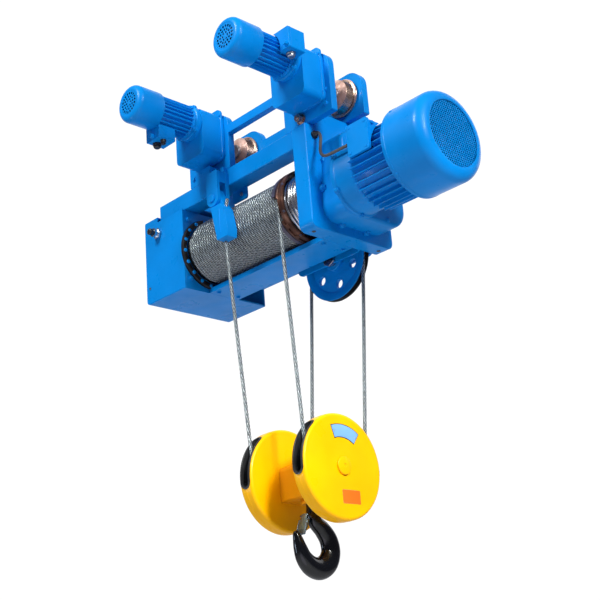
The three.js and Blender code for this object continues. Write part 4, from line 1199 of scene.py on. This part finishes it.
# ---------------------------------------------------------------- CAD nodes that stay as they are
def finish_nodes():
    looks = {
        "guide_bar": STEEL, "drum_gear": STEEL, "countershaft": STEEL, "motor_rotor": STEEL,
        "motor_fan": PLASTIC, "travel_gear_1": STEEL, "travel_gear_2": STEEL, "travel_rotor_1": STEEL,
        "travel_rotor_2": STEEL,
    }
    for node, look in looks.items():
        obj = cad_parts[node]
        obj.data.materials.clear()
        obj.data.materials.append(look.material)


# ---------------------------------------------------------------- stage
BACKDROP_WAY = (-0.67, 0.66, 0.335)


def make_stage():
    """The room's light, the floor and the lamps."""
    scene = bpy.context.scene
    scene.view_settings.view_transform = "Standard"
    world = bpy.data.worlds.new("studio")
    scene.world = world
    world.use_nodes = True
    tree = world.node_tree
    background = tree.nodes["Background"]
    # A white backdrop behind the object, and a dimmer room all round.
    place = add_node(tree, "ShaderNodeTexCoord").outputs["Generated"]
    inputs = {0: place, 1: BACKDROP_WAY}
    away = add_node(tree, "ShaderNodeVectorMath", inputs, operation="DOT_PRODUCT").outputs["Value"]
    inputs = {"Value": away, "From Min": 0.55, "From Max": 0.90, "To Min": 0.15, "To Max": 1.05}
    room = add_node(tree, "ShaderNodeMapRange", inputs, interpolation_type="SMOOTHSTEP")
    tree.links.new(room.outputs["Result"], background.inputs["Strength"])
    # Cool away from the backdrop, and pure white on it.
    tint = add_node(tree, "ShaderNodeValToRGB", {"Fac": away})
    low, high = tint.color_ramp.elements
    low.position, low.color = 0.55, (0.80, 0.78, 1.0, 1)
    high.position, high.color = 0.88, (1, 1, 1, 1)
    tree.links.new(tint.outputs["Color"], background.inputs["Color"])

    bm = bmesh.new()
    bmesh.ops.create_circle(bm, cap_ends=True, segments=96, radius=9)
    mesh = as_mesh(bm, "floor")
    floor = placed(mesh, "floor")
    floor.location.z = cad_box[0].z - 1.3
    stone = Look("floor_paint", None, (0.82, 0.82, 0.84), 0.7)
    tones = [(0.3, (0.80, 0.80, 0.82)), (0.7, (0.84, 0.84, 0.86))]
    stone.to("Base Color", stone.ramp(stone.noise(3.0), tones))
    mesh.materials.append(stone.material)

    lamps = (
        ("key", "AREA", (-0.2, -3.3, 2.3), (0.05, 0, -0.45), 1.3, 156, (0.95, 1.0, 0.96)),
        ("side", "AREA", (3.7, -0.9, 1.3), (0.1, 0, -0.4), 1.3, 148, (0.98, 1.0, 0.98)),
        ("block", "SPOT", (2.5, -0.9, 0.1), (0.1, 0, -1.2), 0.2, 280, (1.0, 1.0, 0.96)),
        ("edge", "AREA", (-1.9, -2.2, -1.5), (0.0, 0, -0.9), 0.6, 9, (0.65, 0.80, 1.0)),
        ("back", "AREA", (0.8, 3.4, 1.6), (0.05, 0, -0.45), 2.4, 18, (1.0, 1.0, 1.0)),
        ("under", "AREA", (0.6, -1.2, -2.1), (0.0, 0, -0.45), 1.2, 2.5, (0.80, 0.72, 1.0)),
    )
    for name, kind, at, target, size, power, color in lamps:
        data = bpy.data.lights.new(name, kind)
        if kind == "AREA":
            data.shape = "DISK"
            data.size = size
        else:
            data.shadow_soft_size = size
            data.spot_size = math.radians(24)
            data.spot_blend = 0.6
        data.energy = power
        data.color = color
        lamp = placed(data, name)
        lamp.location = at
        lamp.rotation_mode = "QUATERNION"
        lamp.rotation_quaternion = (Vector(target) - Vector(at)).to_track_quat("-Z", "Y")


make_camera()
make_frame()
make_drum_ring()
make_anchor()
make_drum()
make_guide()
make_gearbox()
make_motor()
make_terminal_box()
make_lead()
make_plug()
make_falls()
make_return_sheave()
make_block()
make_crosshead()
make_hook()
make_latch()
make_side_frames()
for unit in (1, 2):
    make_wheel(unit, True)
    make_wheel(unit, False)
    make_travel_drive(unit)
    make_travel_terminal(unit)
finish_nodes()
make_stage()
